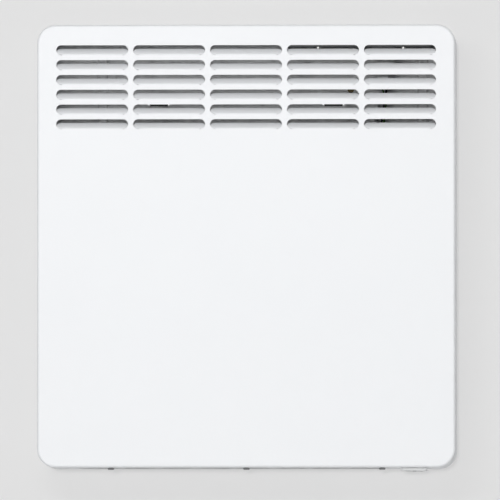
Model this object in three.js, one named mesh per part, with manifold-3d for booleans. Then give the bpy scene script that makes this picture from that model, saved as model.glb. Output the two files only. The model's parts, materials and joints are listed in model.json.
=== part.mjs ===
// Wall panel convector heater on its wall bracket.
// Millimetres. +X is to the viewer's right, +Z is up and the front faces -Y.
// The origin is the centre of the bracket's back face, on the wall.
import * as THREE from "three";
import { mergeVertices } from "three/addons/utils/BufferGeometryUtils.js";
import Module from "manifold-3d";

const wasm = await Module();
wasm.setup();

// ---------------------------------------------------------------- driving dimensions

const WIDTH = 426;
const HEIGHT = 451;
const CORNER_RADIUS = 19;
const CASING_DEPTH = 100.5;
const WALL_GAP = 22.5;
const CASING_SHEET = 0.8;
const FRONT_BEND = 2.4;
const FIT_GAP = 0.3;

const LOUVRE_ROWS = 6;
const LOUVRE_SIDE_MARGIN = 10;
const LOUVRE_LENGTH = 73.2;
const LOUVRE_HEIGHT = 10;
const LOUVRE_WEB_X = 5.2;
const LOUVRE_WEB_Z = 5.1;
const LOUVRE_TOP_MARGIN = 20.8;
const LOUVRE_FOLD_RADIUS = 2.4;
const LOUVRE_FOLD_TURN = 40;
const LOUVRE_EDGE_TURN = 64;
const LOUVRE_SHEAR_GAP = 0.35;
const RELEASE_ROW = 4;
const TOOTH_WIDTH = 2.2;
const TOOTH_DROP = 1.5;

const BACK_SHEET = 0.8;
const BACK_INSET = 0.6;
const LIP_WIDTH = 10;
const REAR_SCREW_INSET = 6.5;
const REAR_SCREW_FROM_END = 75.5;
const BEAD_DEPTH = 1.8;
const BEAD_WIDTH = 12;
const LEFT_BEAD_FROM_SIDE = 63;
const RIGHT_BEAD_FROM_SIDE = 35;
const CROSS_BEAD_Z = 60;
const CROSS_BEAD_LENGTH = 100;

const INTAKE_END_MARGINS = 110;
const INTAKE_EDGE_MARGINS = 42.5;
const INTAKE_CENTRE_X = -14;
const INTAKE_SETBACK = 22;
const INTAKE_CORNER = 6;
const INTAKE_BORDER = [8, 5];
const INTAKE_PITCH = [38.4, 10.5];
const INTAKE_SLOT_LENGTH = 33;
const INTAKE_SLOT_WIDTH = 6.4;
const INTAKE_PLATE = 2;
const INTAKE_RIM = 5;
const INTAKE_RIM_THICKNESS = 1.4;

const CATCH_FROM_INTAKE_END = 19.8;
const CATCH_SETBACK = 15;
const CATCH_WIDTH = 6.4;
const CATCH_LENGTH = 7;
const CATCH_DROP = 2.1;
const CATCH_STEM_RADIUS = 2.1;

const SWITCH_FROM_SIDE = 42.5;
const SWITCH_SETBACK = 40;
const SWITCH_BEZEL_OVERHANG = [2.2, 1.7];
const SWITCH_BEZEL_THICKNESS = 2.6;
const SWITCH_BODY_WIDTH = 21.4;
const SWITCH_BODY_LENGTH = 27.6;
const SWITCH_BODY_HEIGHT = 20;
const SWITCH_BLADE_HEIGHT = 9;
const SWITCH_BLADE_PITCH = 8;
const ROCKER_INSET = [2.5, 2.2];
const ROCKER_PROUD = 2;
const ROCKER_RECESS = 1.4;
const ROCKER_HALF_TILT = 5;
const ROCKER_CLEARANCE = 0.45;
const ROCKER_PIVOT_DEPTH = 1.6;
const SWITCH_WELL_DEPTH = 6.5;

const BRACKET_SHEET = 1.5;
const BRACKET_OVERHANG = 22;
const BRACKET_RAIL_HEIGHT = 30;
const UPRIGHT_FROM_HOOK = 23;
const UPRIGHT_WIDTH = 26;
const UPRIGHT_FOOT = 11;
const CENTRE_PLATE_HEIGHT = 56;
const WALL_SCREW_RADIUS = 3.2;
const WALL_SCREW_SPACING = 100;

const HOOK_FROM_SIDE = 124;
const TONGUE_WIDTH = 11;
const TONGUE_REACH = 15.5;
const TONGUE_ABOVE_SLOT = 3.4;
const TONGUE_EYE = [8, 7];
const TONGUE_TIP = 2;
const TONGUE_BELOW_RAIL_TOP = 17;
const UPPER_SLOT = [20, 7];
const LOWER_HOOK_RISE = 55.5;
const LOWER_HOOK_ABOVE_RAIL_FOOT = 15;
const LOWER_SLOT = [6, 16];
const HOOK_LIP = 8;

const LEVER_PIVOT_REACH = 32.4;
const LEVER_PIN_RADIUS = 1.25;
const LEVER_PIN_DROP = 1.2;
const LEVER_ARM_WIDTH = 12;
const LEVER_THICKNESS = 2;
const LEVER_ABOVE_TONGUE = 6.1;
const LEVER_PAD_WIDTH = 18.5;
const LEVER_PAD_SETBACK = 8;
const LEVER_PAD_BELOW_SLOT_EDGE = 1.7;
const LEVER_NOSE_CLEARANCE = 1;
const EAR_SHEET = 1.2;
const EAR_PLAY = 0.6;
const EAR_FOOT = 9;

const ELEMENT_RISE = 107.5;
const ELEMENT_FROM_LEFT = 48;
const ELEMENT_FROM_RIGHT = 117;
const ELEMENT_ROD_RADIUS = 4.25;
const ELEMENT_SLEEVE_WALL = 1.2;
const ELEMENT_STUD_RADIUS = 1.6;
const ELEMENT_STUD_LENGTH = 9;
const FIN_PITCH = 8.4;
const FIN_THICKNESS = 0.7;
const FIN_EDGE_MARGINS = 38.5;
const FIN_HEIGHT = 36;
const SUPPORT_SHEET = 1;
const SUPPORT_OFFSET = 14;
const SUPPORT_REAR_HALF = 30;
const SUPPORT_FRONT_HALF = 14;
const SUPPORT_FOOT = 12;
const BUSH_RADIUS = 9;
const BUSH_LENGTH = 10;

const SHIELD_SETBACK = 15;
const SHIELD_SHEET = 0.8;
const SHIELD_BELOW_ELEMENT = 32;
const SHIELD_BELOW_TOP = 125.5;
const SHIELD_TURN = 9;

const DIVIDER_SHEET = 0.8;
const DIVIDER_FROM_SIDE = 78.4;
const DIVIDER_BELOW_TOP = 66.1;
const DIVIDER_ABOVE_ELEMENT = 36;
const DIVIDER_LEAN = 33.55;
const DIVIDER_DEPTH = 47.4;

const DUCT_WIDTH = 12;
const DUCT_DEPTH = 22;
const DUCT_WALL = 1.5;
const DUCT_BELOW_TOP = 121.5;
const DUCT_STANDOFF = 14;
const LEAD_RADIUS = 1.1;
const SENSOR_LEAD_RADIUS = 0.8;
const LEAD_SPACING = 4;

const CONTROL_FROM_SIDE = 21.7;
const CONTROL_EDGE_MARGINS = 32.5;
const CONTROL_HEIGHT = 20.5;
const CONTROL_SETBACK = 9;
const CONTROL_WALL = 1.8;
const CONTROL_CORNER = 5;
const CONTROL_SCREW_OFFSET = 43.4;
const CONTROL_SCREW_BEFORE_DISPLAY = 7;
const FASCIA_MARGIN = 3.5;
const FASCIA_THICKNESS = 2.4;
const BOARD_DROP = 10.1;
const BOARD_THICKNESS = 1.6;
const DISPLAY_WIDTH = 54;
const DISPLAY_DEPTH = 26;
const DISPLAY_OFFSET = -38;
const BUTTON_NAMES = ["menu", "minus", "plus", "confirm"];
const BUTTON_WIDTH = 13;
const BUTTON_DEPTH = 10;
const BUTTON_SPACE = 5;
const BUTTON_END_MARGIN = 6.5;
const BUTTON_FROM_CENTRE = 1.5;
const BUTTON_PROUD = 1;
const BUTTON_TRAVEL = 0.8;

const GLAND_FROM_SIDE = 48;
const GLAND_RISE = 47.5;
const GLAND_RADIUS = 7.5;
const GLAND_BORE = 3.8;
const GLAND_COLLAR = 3;
const GLAND_NOSE = 7;
const TERMINAL_FROM_SIDE = 45;
const TERMINAL_RISE = 97.5;
const TERMINAL_HALF = [22, 9];
const TERMINAL_DEPTH = 14;
const CUTOUT_X = -40;
const CUTOUT_ABOVE_ELEMENT = 36;
const CUTOUT_RADIUS = 8;
const CUTOUT_BLADE_REACH = 17;
const EARTH_FROM_DIVIDER = 30.5;
const EARTH_BELOW_TOP = 62.3;
const SENSOR_FROM_SIDE = 21;
const SENSOR_RISE = 35.5;
const SENSOR_REACH = 24;
const SENSOR_RADIUS = 2.4;
const SENSOR_HALF_LENGTH = 6;

const REAR_SCREW = { head: 3.6, height: 1.6, shank: 1.5, length: 5 };
const HOUSING_SCREW = { head: 2.7, height: 2.4, shank: 1.4, length: 9 };
const EARTH_SCREW = { head: 3.3, height: 2.4, shank: 1.6, length: 0.2 };

// ---------------------------------------------------------------- derived planes

const REAR_Y = -WALL_GAP;
const FRONT_Y = REAR_Y - CASING_DEPTH;
const TOP_Z = HEIGHT / 2;
const BOTTOM_Z = -HEIGHT / 2;
const BACK_INNER_Y = REAR_Y - BACK_SHEET;
const BACK_FIT_Y = BACK_INNER_Y - FIT_GAP;
const LIP_Y = BACK_FIT_Y - CASING_SHEET;
const CASING_FLOOR_Z = BOTTOM_Z + CASING_SHEET + FIT_GAP;
const LOUVRE_END_RADIUS = LOUVRE_HEIGHT / 2;
const LOUVRE_FOLD = THREE.MathUtils.degToRad(LOUVRE_FOLD_TURN);
const LOUVRE_FOLD_LENGTH = LOUVRE_FOLD_RADIUS * LOUVRE_FOLD;
const LOUVRE_CURL_RADIUS =
  (LOUVRE_HEIGHT - LOUVRE_FOLD_LENGTH) / (THREE.MathUtils.degToRad(LOUVRE_EDGE_TURN) - LOUVRE_FOLD);
const LOUVRE_PITCH_X = LOUVRE_LENGTH + LOUVRE_WEB_X;
const LOUVRE_PITCH_Z = LOUVRE_HEIGHT + LOUVRE_WEB_Z;

const LOUVRE_COLUMNS = Math.floor((WIDTH - 2 * LOUVRE_SIDE_MARGIN) / LOUVRE_PITCH_X);
const louvreTop = (row) => TOP_Z - LOUVRE_TOP_MARGIN - row * LOUVRE_PITCH_Z;
const louvreX = (column) => (column - (LOUVRE_COLUMNS - 1) / 2) * LOUVRE_PITCH_X;
const fromRight = (distance) => WIDTH / 2 - distance;

const HOOK_SIDES = [
  [-1, "left"],
  [1, "right"],
];
const hookX = (side) => side * fromRight(HOOK_FROM_SIDE);
const RAIL_HALF_WIDTH = hookX(1) + BRACKET_OVERHANG;
const UPRIGHT_X = hookX(1) - UPRIGHT_FROM_HOOK;
const RELEASE_Z = louvreTop(RELEASE_ROW);
const TONGUE_Z = RELEASE_Z + TONGUE_ABOVE_SLOT;
const TONGUE_LENGTH = WALL_GAP + TONGUE_REACH;
const LOWER_HOOK_Z = BOTTOM_Z + LOWER_HOOK_RISE;
const BRACKET_TOP_Z = TONGUE_Z + TONGUE_BELOW_RAIL_TOP;
const BRACKET_BOTTOM_Z = LOWER_HOOK_Z - LOWER_HOOK_ABOVE_RAIL_FOOT;
const LEVER_Z = TONGUE_Z + LEVER_ABOVE_TONGUE;
const LEVER_PIVOT_Y = BACK_FIT_Y - LEVER_PIVOT_REACH;
const EAR_INNER = LEVER_ARM_WIDTH / 2 + EAR_PLAY;

const INTAKE_LENGTH = WIDTH - INTAKE_END_MARGINS;
const INTAKE_DEPTH = CASING_DEPTH - INTAKE_EDGE_MARGINS;
const INTAKE_Y = FRONT_Y + INTAKE_SETBACK + INTAKE_DEPTH / 2;
const CATCH_SPACING = INTAKE_LENGTH / 2 - CATCH_FROM_INTAKE_END;
const CATCH_Y = FRONT_Y + CATCH_SETBACK;
const SWITCH_BEZEL_WIDTH = SWITCH_BODY_WIDTH + 2 * SWITCH_BEZEL_OVERHANG[0];
const SWITCH_BEZEL_LENGTH = SWITCH_BODY_LENGTH + 2 * SWITCH_BEZEL_OVERHANG[1];
const ROCKER_WIDTH = SWITCH_BODY_WIDTH - 2 * ROCKER_INSET[0];
const ROCKER_LENGTH = SWITCH_BODY_LENGTH - 2 * ROCKER_INSET[1];
const SWITCH_X = fromRight(SWITCH_FROM_SIDE);
const SWITCH_Y = FRONT_Y + SWITCH_SETBACK;
const SWITCH_FACE_Z = BOTTOM_Z - FIT_GAP - SWITCH_BEZEL_THICKNESS;
const SWITCH_TOP_Z = BOTTOM_Z + SWITCH_BODY_HEIGHT;
const BLADE_TOP_Z = SWITCH_TOP_Z + SWITCH_BLADE_HEIGHT;
const ROCKER_PIVOT_Z = BOTTOM_Z + ROCKER_PIVOT_DEPTH;

const SHIELD_Y = FRONT_Y + SHIELD_SETBACK;
const ELEMENT_Y = (SHIELD_Y + BACK_FIT_Y) / 2;
const ELEMENT_Z = BOTTOM_Z + ELEMENT_RISE;
const ELEMENT_LEFT = ELEMENT_FROM_LEFT - WIDTH / 2;
const ELEMENT_RIGHT = fromRight(ELEMENT_FROM_RIGHT);
const ELEMENT_BORE = ELEMENT_ROD_RADIUS + FIT_GAP;
const ROD_OVERHANG = SUPPORT_OFFSET + 14;
const STUD_END = ROD_OVERHANG + ELEMENT_STUD_LENGTH;
const BUSH_WAIST = BUSH_RADIUS - 2;
const FIN_DEPTH = CASING_DEPTH - FIN_EDGE_MARGINS;
const SHIELD_BOTTOM_Z = ELEMENT_Z - SHIELD_BELOW_ELEMENT;
const SHIELD_TOP_Z = TOP_Z - SHIELD_BELOW_TOP;

const DIVIDER_X = fromRight(DIVIDER_FROM_SIDE);
const DIVIDER_Y = BACK_FIT_Y - DIVIDER_DEPTH;
const DIVIDER_Z = TOP_Z - DIVIDER_BELOW_TOP;
const DIVIDER_BOTTOM_Z = ELEMENT_Z + DIVIDER_ABOVE_ELEMENT;
const DIVIDER_SLOPE = DIVIDER_LEAN / (DIVIDER_Z - DIVIDER_BOTTOM_Z);
const dividerX = (z) => DIVIDER_X + (z - DIVIDER_Z) * DIVIDER_SLOPE;
const DUCT_TOP_Z = TOP_Z - DUCT_BELOW_TOP;
const DUCT_END_Z = DIVIDER_BOTTOM_Z + 6;
const DUCT_LENGTH = DUCT_TOP_Z - DUCT_END_Z;
const DUCT_LEAN = Math.atan(DIVIDER_SLOPE);
const DUCT_FRONT = BACK_FIT_Y - DUCT_STANDOFF - DUCT_DEPTH;

const BUTTON_PITCH = BUTTON_WIDTH + BUTTON_SPACE;
const BUTTON_FIRST_OFFSET = BUTTON_FROM_CENTRE + BUTTON_WIDTH / 2;
const LAST_BUTTON_OFFSET = BUTTON_FIRST_OFFSET + (BUTTON_NAMES.length - 1) * BUTTON_PITCH;
const CONTROL_WIDTH = 2 * (LAST_BUTTON_OFFSET + BUTTON_WIDTH / 2 + BUTTON_END_MARGIN);
const CONTROL_X = fromRight(CONTROL_FROM_SIDE + CONTROL_WIDTH / 2);
const CONTROL_DEPTH = CASING_DEPTH - CONTROL_EDGE_MARGINS;
const CONTROL_Y = FRONT_Y + CONTROL_SETBACK + CONTROL_DEPTH / 2;
const CONTROL_TOP_Z = TOP_Z - CASING_SHEET - FIT_GAP;
const CONTROL_FLOOR_Z = CONTROL_TOP_Z - CONTROL_HEIGHT;

const GLAND_AT = [fromRight(GLAND_FROM_SIDE), BOTTOM_Z + GLAND_RISE];
const TERMINAL_X = fromRight(TERMINAL_FROM_SIDE);
const TERMINAL_Z = BOTTOM_Z + TERMINAL_RISE;
const CUTOUT_Z = ELEMENT_Z + CUTOUT_ABOVE_ELEMENT;
const EARTH_X = DIVIDER_X - EARTH_FROM_DIVIDER;
const EARTH_Z = TOP_Z - EARTH_BELOW_TOP;
const SENSOR_X = fromRight(SENSOR_FROM_SIDE);
const SENSOR_Z = BOTTOM_Z + SENSOR_RISE;

// ---------------------------------------------------------------- materials

const finish = (color, roughness, metalness) =>
  new THREE.MeshStandardMaterial({ color, roughness, metalness });
const WHITE_COAT = finish(0xf3f5f7, 0.45, 0);
const GALVANISED = finish(0xb9bcbf, 0.42, 0.85);
const ALUMINIUM = finish(0xc9ccd0, 0.35, 0.95);
const STAINLESS = finish(0xa8a5a0, 0.3, 0.95);
const WHITE_PLASTIC = finish(0xeeefee, 0.5, 0);
const GREY_PLASTIC = finish(0x4c4f53, 0.6, 0);
const BLACK_PLASTIC = finish(0x17181a, 0.55, 0);
const CERAMIC = finish(0xe6dfd0, 0.6, 0);
const BOARD_GREEN = finish(0x1f5c3a, 0.5, 0);
const DARK_GLASS = finish(0x14181b, 0.08, 0);
const LCD_GREY = finish(0xa9b3a4, 0.3, 0);
const BRASS = finish(0xb99a52, 0.35, 0.9);
const WIRE_BLACK = finish(0x1b1b1d, 0.5, 0);
const WIRE_BLUE = finish(0x2b5fa8, 0.5, 0);
const WIRE_BROWN = finish(0x6b3f26, 0.5, 0);
const WIRE_GREEN = finish(0x4f7a2c, 0.5, 0);

// ---------------------------------------------------------------- solids and outlines

// A closed geometry as a solid that can be joined and cut.
function solid(geometry) {
  const bare = geometry.index ? geometry.toNonIndexed() : geometry.clone();
  bare.deleteAttribute("normal");
  bare.deleteAttribute("uv");
  const merged = mergeVertices(bare, 1e-4);
  return new wasm.Manifold(
    new wasm.Mesh({
      numProp: 3,
      vertProperties: merged.attributes.position.array,
      triVerts: new Uint32Array(merged.index.array),
    }),
  );
}

// A solid back as a geometry with flat faces.
function geometryOf(made) {
  const mesh = made.getMesh();
  const indexed = new THREE.BufferGeometry();
  indexed.setAttribute("position", new THREE.BufferAttribute(mesh.vertProperties, 3));
  indexed.setIndex(new THREE.BufferAttribute(mesh.triVerts, 1));
  const flat = indexed.toNonIndexed();
  flat.computeVertexNormals();
  return flat;
}

const join = (solids) => solids.reduce((all, one) => all.add(one));
const cut = (from, solids) => solids.reduce((left, one) => left.subtract(one), from);

function box(x, y, z) {
  const made = new THREE.BoxGeometry(x[1] - x[0], y[1] - y[0], z[1] - z[0]);
  return solid(made.translate((x[0] + x[1]) / 2, (y[0] + y[1]) / 2, (z[0] + z[1]) / 2));
}

const extruded = (outline, depth) =>
  new THREE.ExtrudeGeometry(new THREE.Shape(outline), { depth, bevelEnabled: false });

// An outline drawn in (x, y), standing along Z.
const alongZ = (outline, z) => solid(extruded(outline, z[1] - z[0]).translate(0, 0, z[0]));

// An outline drawn in (x, z), running along Y.
const alongY = (outline, y) =>
  solid(extruded(outline, y[1] - y[0]).rotateX(Math.PI / 2).translate(0, y[1], 0));

// An outline drawn in (y, z), running along X.
function alongX(outline, x) {
  const turn = new THREE.Matrix4().makeBasis(
    new THREE.Vector3(0, 1, 0),
    new THREE.Vector3(0, 0, 1),
    new THREE.Vector3(1, 0, 0),
  );
  return solid(extruded(outline, x[1] - x[0]).applyMatrix4(turn).translate(x[0], 0, 0));
}

const points = (pairs) => pairs.map(([a, b]) => new THREE.Vector2(a, b));

function roundedRect(centre, width, height, radius, steps) {
  const corners = [
    [1, 1],
    [-1, 1],
    [-1, -1],
    [1, -1],
  ];
  return corners.flatMap(([sx, sy], quarter) =>
    Array.from({ length: steps + 1 }, (_, k) => {
      const angle = ((quarter + k / steps) * Math.PI) / 2;
      return new THREE.Vector2(
        centre[0] + sx * (width / 2 - radius) + radius * Math.cos(angle),
        centre[1] + sy * (height / 2 - radius) + radius * Math.sin(angle),
      );
    }),
  );
}

const circle = (centre, radius, sides) =>
  Array.from({ length: sides }, (_, k) => {
    const angle = ((k + 0.5) / sides) * 2 * Math.PI;
    return new THREE.Vector2(
      centre[0] + radius * Math.cos(angle),
      centre[1] + radius * Math.sin(angle),
    );
  });

// A slot with round ends, along its first axis.
const stadium = (centre, length, width, steps) =>
  roundedRect(centre, length, width, width / 2 - 1e-3, steps);

// A closed skin over rings of equal count, with flat ends. Seen from the first ring towards
// the last, each ring turns anticlockwise.
function loft(rings) {
  const count = rings[0].length;
  const positions = rings.flat().flatMap((p) => [p.x, p.y, p.z]);
  const index = [];
  for (let ring = 0; ring < rings.length - 1; ring++) {
    for (let k = 0; k < count; k++) {
      const a = ring * count + k;
      const b = ring * count + ((k + 1) % count);
      index.push(a, b + count, b, a, a + count, b + count);
    }
  }
  const last = (rings.length - 1) * count;
  for (let k = 1; k < count - 1; k++) {
    index.push(0, k, k + 1);
    index.push(last, last + k + 1, last + k);
  }
  const geometry = new THREE.BufferGeometry();
  geometry.setAttribute("position", new THREE.Float32BufferAttribute(positions, 3));
  geometry.setIndex(index);
  return solid(geometry);
}

const heater = new THREE.Group();

function place(name, shape, material, position = [0, 0, 0], parent = heater) {
  const geometry = shape.isBufferGeometry ? shape : geometryOf(shape);
  const mesh = new THREE.Mesh(geometry, material);
  mesh.name = name;
  mesh.position.set(...position);
  parent.add(mesh);
  return mesh;
}

// ---------------------------------------------------------------- casing

const outlineAt = (inset, y, steps = 6) =>
  roundedRect([0, 0], WIDTH - 2 * inset, HEIGHT - 2 * inset, CORNER_RADIUS - inset, steps).map(
    (p) => new THREE.Vector3(p.x, y, p.y),
  );

// The outer or inner skin of the casing: the front edge is bent, the back is open.
function casingSkin(inset, rear) {
  const bend = FRONT_BEND - inset;
  const bendSteps = 3;
  const rings = [];
  for (let k = 0; k <= bendSteps; k++) {
    const angle = ((k / bendSteps) * Math.PI) / 2;
    const y = FRONT_Y + inset + bend * (1 - Math.cos(angle));
    rings.push(outlineAt(inset + bend * (1 - Math.sin(angle)), y));
  }
  rings.push(outlineAt(inset, rear));
  return loft(rings);
}

// The rear edge turns inwards as a flat lip that the back panel is screwed to.
const rearLip = () =>
  loft([outlineAt(CASING_SHEET / 2, LIP_Y), outlineAt(CASING_SHEET / 2, BACK_FIT_Y)]).subtract(
    loft([outlineAt(LIP_WIDTH, LIP_Y - 1), outlineAt(LIP_WIDTH, BACK_FIT_Y + 1)]),
  );

// How far a tongue has turned, gone in and risen at a length along it: a tight fold at its root,
// then a wide curl to its free edge.
function tongueAt(along) {
  const fold = Math.min(along, LOUVRE_FOLD_LENGTH) / LOUVRE_FOLD_RADIUS;
  const turn = fold + Math.max(along - LOUVRE_FOLD_LENGTH, 0) / LOUVRE_CURL_RADIUS;
  return {
    turn,
    depth:
      LOUVRE_FOLD_RADIUS * (1 - Math.cos(fold)) +
      LOUVRE_CURL_RADIUS * (Math.cos(fold) - Math.cos(turn)),
    rise: LOUVRE_FOLD_RADIUS * Math.sin(fold) + LOUVRE_CURL_RADIUS * (Math.sin(turn) - Math.sin(fold)),
  };
}

// One scooped tongue. It leaves the face along the slot's lower edge and slopes inwards. Its
// rings run upwards from just below that edge.
function louvreTongue() {
  const straight = LOUVRE_LENGTH / 2 - LOUVRE_END_RADIUS;
  const roundAt = (share) => LOUVRE_END_RADIUS * (1 - Math.cos(share * Math.PI));
  const lengths = [LOUVRE_FOLD_LENGTH / 2, LOUVRE_FOLD_LENGTH, roundAt(0.5), roundAt(0.75), roundAt(1)];
  const stations = [
    { turn: 0, depth: 0, rise: -0.6, half: straight },
    { turn: 0, depth: 0, rise: 0, half: straight },
    ...lengths.map((along) => ({
      ...tongueAt(along),
      half: straight + Math.sqrt(along * (LOUVRE_HEIGHT - along)) - LOUVRE_SHEAR_GAP,
    })),
  ];
  const rings = stations.map(({ turn, depth, rise, half }) => {
    const [front, back] = [0, CASING_SHEET].map((inwards) => [
      FRONT_Y + depth + inwards * Math.cos(turn),
      rise - inwards * Math.sin(turn),
    ]);
    return [
      new THREE.Vector3(half, ...back),
      new THREE.Vector3(half, ...front),
      new THREE.Vector3(-half, ...front),
      new THREE.Vector3(-half, ...back),
    ];
  });
  return loft(rings);
}

// Two small teeth hang from the upper edge of each slot that a release lever sits behind.
function releaseTeeth() {
  const root = 0.3;
  const inset = 0.05;
  const inSheet = [FRONT_Y + inset, FRONT_Y + CASING_SHEET - inset];
  const outline = points([
    [-TOOTH_WIDTH / 2, root],
    [0, -TOOTH_DROP],
    [TOOTH_WIDTH / 2, root],
  ]);
  const tooth = alongY(outline, inSheet);
  const half = LEVER_PAD_WIDTH / 2 + 1;
  return join(
    HOOK_SIDES.flatMap(([side]) =>
      [-half, half].map((dx) => tooth.translate([hookX(side) + dx, 0, RELEASE_Z])),
    ),
  );
}

const catchPlaces = [
  [-CATCH_SPACING, "left"],
  [0, "centre"],
  [CATCH_SPACING, "right"],
];
const stemHole = (x, z) => alongZ(circle([x, CATCH_Y], CATCH_STEM_RADIUS + FIT_GAP, 12), z);
const rearScrewPlaces = [
  [-1, 1, "upper_left"],
  [1, 1, "upper_right"],
  [-1, -1, "lower_left"],
  [1, -1, "lower_right"],
].map(([sx, sz, name]) => [
  sx * fromRight(REAR_SCREW_INSET),
  sz * (TOP_Z - REAR_SCREW_FROM_END),
  name,
]);

function frontCasing() {
  const skin = casingSkin(0, BACK_FIT_Y).subtract(casingSkin(CASING_SHEET, REAR_Y));
  const face = [FRONT_Y - 1, FRONT_Y + CASING_SHEET + 1];
  const floor = [BOTTOM_Z - 1, BOTTOM_Z + CASING_SHEET + 1];
  const roof = [TOP_Z - CASING_SHEET - 1, TOP_Z + 1];
  const tongue = louvreTongue();
  const slots = [];
  const tongues = [];
  for (let column = 0; column < LOUVRE_COLUMNS; column++) {
    for (let row = 0; row < LOUVRE_ROWS; row++) {
      const x = louvreX(column);
      const middle = louvreTop(row) - LOUVRE_HEIGHT / 2;
      slots.push(alongY(stadium([x, middle], LOUVRE_LENGTH, LOUVRE_HEIGHT, 2), face));
      tongues.push(tongue.translate([x, 0, middle - LOUVRE_HEIGHT / 2]));
    }
  }
  const openings = [
    alongZ(fasciaOutline([CONTROL_X, CONTROL_Y], 0), roof),
    alongZ(intakeOutline(0), floor),
    alongZ(switchOutline(FIT_GAP), floor),
    ...catchPlaces.map(([x]) => stemHole(x, floor)),
    ...rearScrewPlaces.map((place) =>
      alongY(circle(place, REAR_SCREW.shank + FIT_GAP, 10), [LIP_Y - 1, REAR_Y]),
    ),
  ];
  return cut(skin.add(rearLip()), [...slots, ...openings]).add(join(tongues)).add(releaseTeeth());
}

// ---------------------------------------------------------------- back panel

// A stiffening bead pressed in from behind: a groove outside and a ridge inside.
function bead(x, z) {
  const side = 0.4;
  const pad = (grow, y) =>
    [
      [x[1] + grow, z[0] - grow],
      [x[1] + grow, z[1] + grow],
      [x[0] - grow, z[1] + grow],
      [x[0] - grow, z[0] - grow],
    ].map(([px, pz]) => new THREE.Vector3(px, y, pz));
  const ridge = loft([
    pad(-BEAD_DEPTH, BACK_INNER_Y - BEAD_DEPTH),
    pad(0, BACK_INNER_Y + BACK_SHEET / 2),
  ]);
  const groove = loft([
    pad(-BEAD_DEPTH - side, REAR_Y - BEAD_DEPTH),
    pad(-side, REAR_Y),
    pad(-side, REAR_Y + 1),
  ]);
  return { ridge, groove };
}

function backPanel() {
  const sheet = loft([outlineAt(BACK_INSET, BACK_INNER_Y), outlineAt(BACK_INSET, REAR_Y)]);
  const half = BEAD_WIDTH / 2;
  const around = (middle, reach) => [middle - reach, middle + reach];
  const leftBead = [ELEMENT_Z - 2, TOP_Z - 20.5];
  const rightBead = [ELEMENT_Z + 28, TOP_Z - 30.5];
  const beads = [
    bead(around(LEFT_BEAD_FROM_SIDE - WIDTH / 2, half), leftBead),
    bead(around(fromRight(RIGHT_BEAD_FROM_SIDE), half), rightBead),
    bead(around(0, CROSS_BEAD_LENGTH / 2), around(CROSS_BEAD_Z, half)),
    bead(around(0, CROSS_BEAD_LENGTH / 2), around(-CROSS_BEAD_Z, half)),
  ];
  const through = [REAR_Y - 3, REAR_Y + 1];
  const hookHoles = HOOK_SIDES.flatMap(([side]) => {
    const x = hookX(side);
    const rest = LOWER_HOOK_Z + FIT_GAP;
    return [
      alongY(stadium([x, TONGUE_Z], ...UPPER_SLOT, 2), through),
      box([x - LOWER_SLOT[0] / 2, x + LOWER_SLOT[0] / 2], through, [rest - LOWER_SLOT[1], rest]),
    ];
  });
  const holes = [
    ...hookHoles,
    alongY(circle(GLAND_AT, GLAND_RADIUS + FIT_GAP, 16), through),
    ...rearScrewPlaces.map((place) => alongY(circle(place, REAR_SCREW.shank + FIT_GAP, 10), through)),
  ];
  const ridged = sheet.add(join(beads.map((b) => b.ridge)));
  return cut(ridged, [...beads.map((b) => b.groove), ...holes]);
}

// A pan-head screw on the Z axis, head down: its seat is at z = 0 and its shank points up.
function panScrew({ head, height, shank, length }) {
  const arm = head * 0.6;
  const blade = 0.4;
  const recess = (long, wide) =>
    box([-long, long], [-wide, wide], [-height - 1, -height * 0.45]);
  const body = join([
    alongZ(circle([0, 0], head, 12), [-height * 0.6, 0]),
    alongZ(circle([0, 0], head * 0.75, 12), [-height, -height * 0.5]),
    alongZ(circle([0, 0], shank, 8), [-height * 0.1, length]),
  ]);
  return cut(body, [recess(arm, blade), recess(blade, arm)]);
}

// ---------------------------------------------------------------- underside

const intakeOutline = (inset) =>
  roundedRect(
    [INTAKE_CENTRE_X, INTAKE_Y],
    INTAKE_LENGTH - 2 * inset,
    INTAKE_DEPTH - 2 * inset,
    INTAKE_CORNER - inset,
    2,
  );

function intakeGrille() {
  const recess = 0.2;
  const rimAheadOfCatch = 6;
  const plateZ = [BOTTOM_Z + recess, BOTTOM_Z + recess + INTAKE_PLATE];
  const rimZ = [CASING_FLOOR_Z, CASING_FLOOR_Z + INTAKE_RIM_THICKNESS];
  const rimFront = CATCH_Y - rimAheadOfCatch;
  const rimRear = INTAKE_Y + INTAKE_DEPTH / 2 + INTAKE_RIM;
  const rim = roundedRect(
    [INTAKE_CENTRE_X, (rimFront + rimRear) / 2],
    INTAKE_LENGTH + 2 * INTAKE_RIM,
    rimRear - rimFront,
    4,
    2,
  );
  const through = [BOTTOM_Z - 1, CASING_FLOOR_Z + 5];
  const [pitchX, pitchY] = INTAKE_PITCH;
  const columns = Math.floor((INTAKE_LENGTH - INTAKE_BORDER[0]) / pitchX);
  const rows = Math.floor((INTAKE_DEPTH - INTAKE_BORDER[1]) / pitchY);
  const slots = [];
  for (let column = 0; column < columns; column++) {
    for (let row = 0; row < rows; row++) {
      const x = INTAKE_CENTRE_X + (column - (columns - 1) / 2) * pitchX;
      const y = INTAKE_Y + (row - (rows - 1) / 2) * pitchY;
      slots.push(alongZ(stadium([x, y], INTAKE_SLOT_LENGTH, INTAKE_SLOT_WIDTH, 1), through));
    }
  }
  const stemHoles = catchPlaces.map(([x]) => stemHole(x, through));
  const plate = alongZ(intakeOutline(FIT_GAP), plateZ).add(alongZ(rim, rimZ));
  return cut(plate, [...slots, ...stemHoles]);
}

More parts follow.
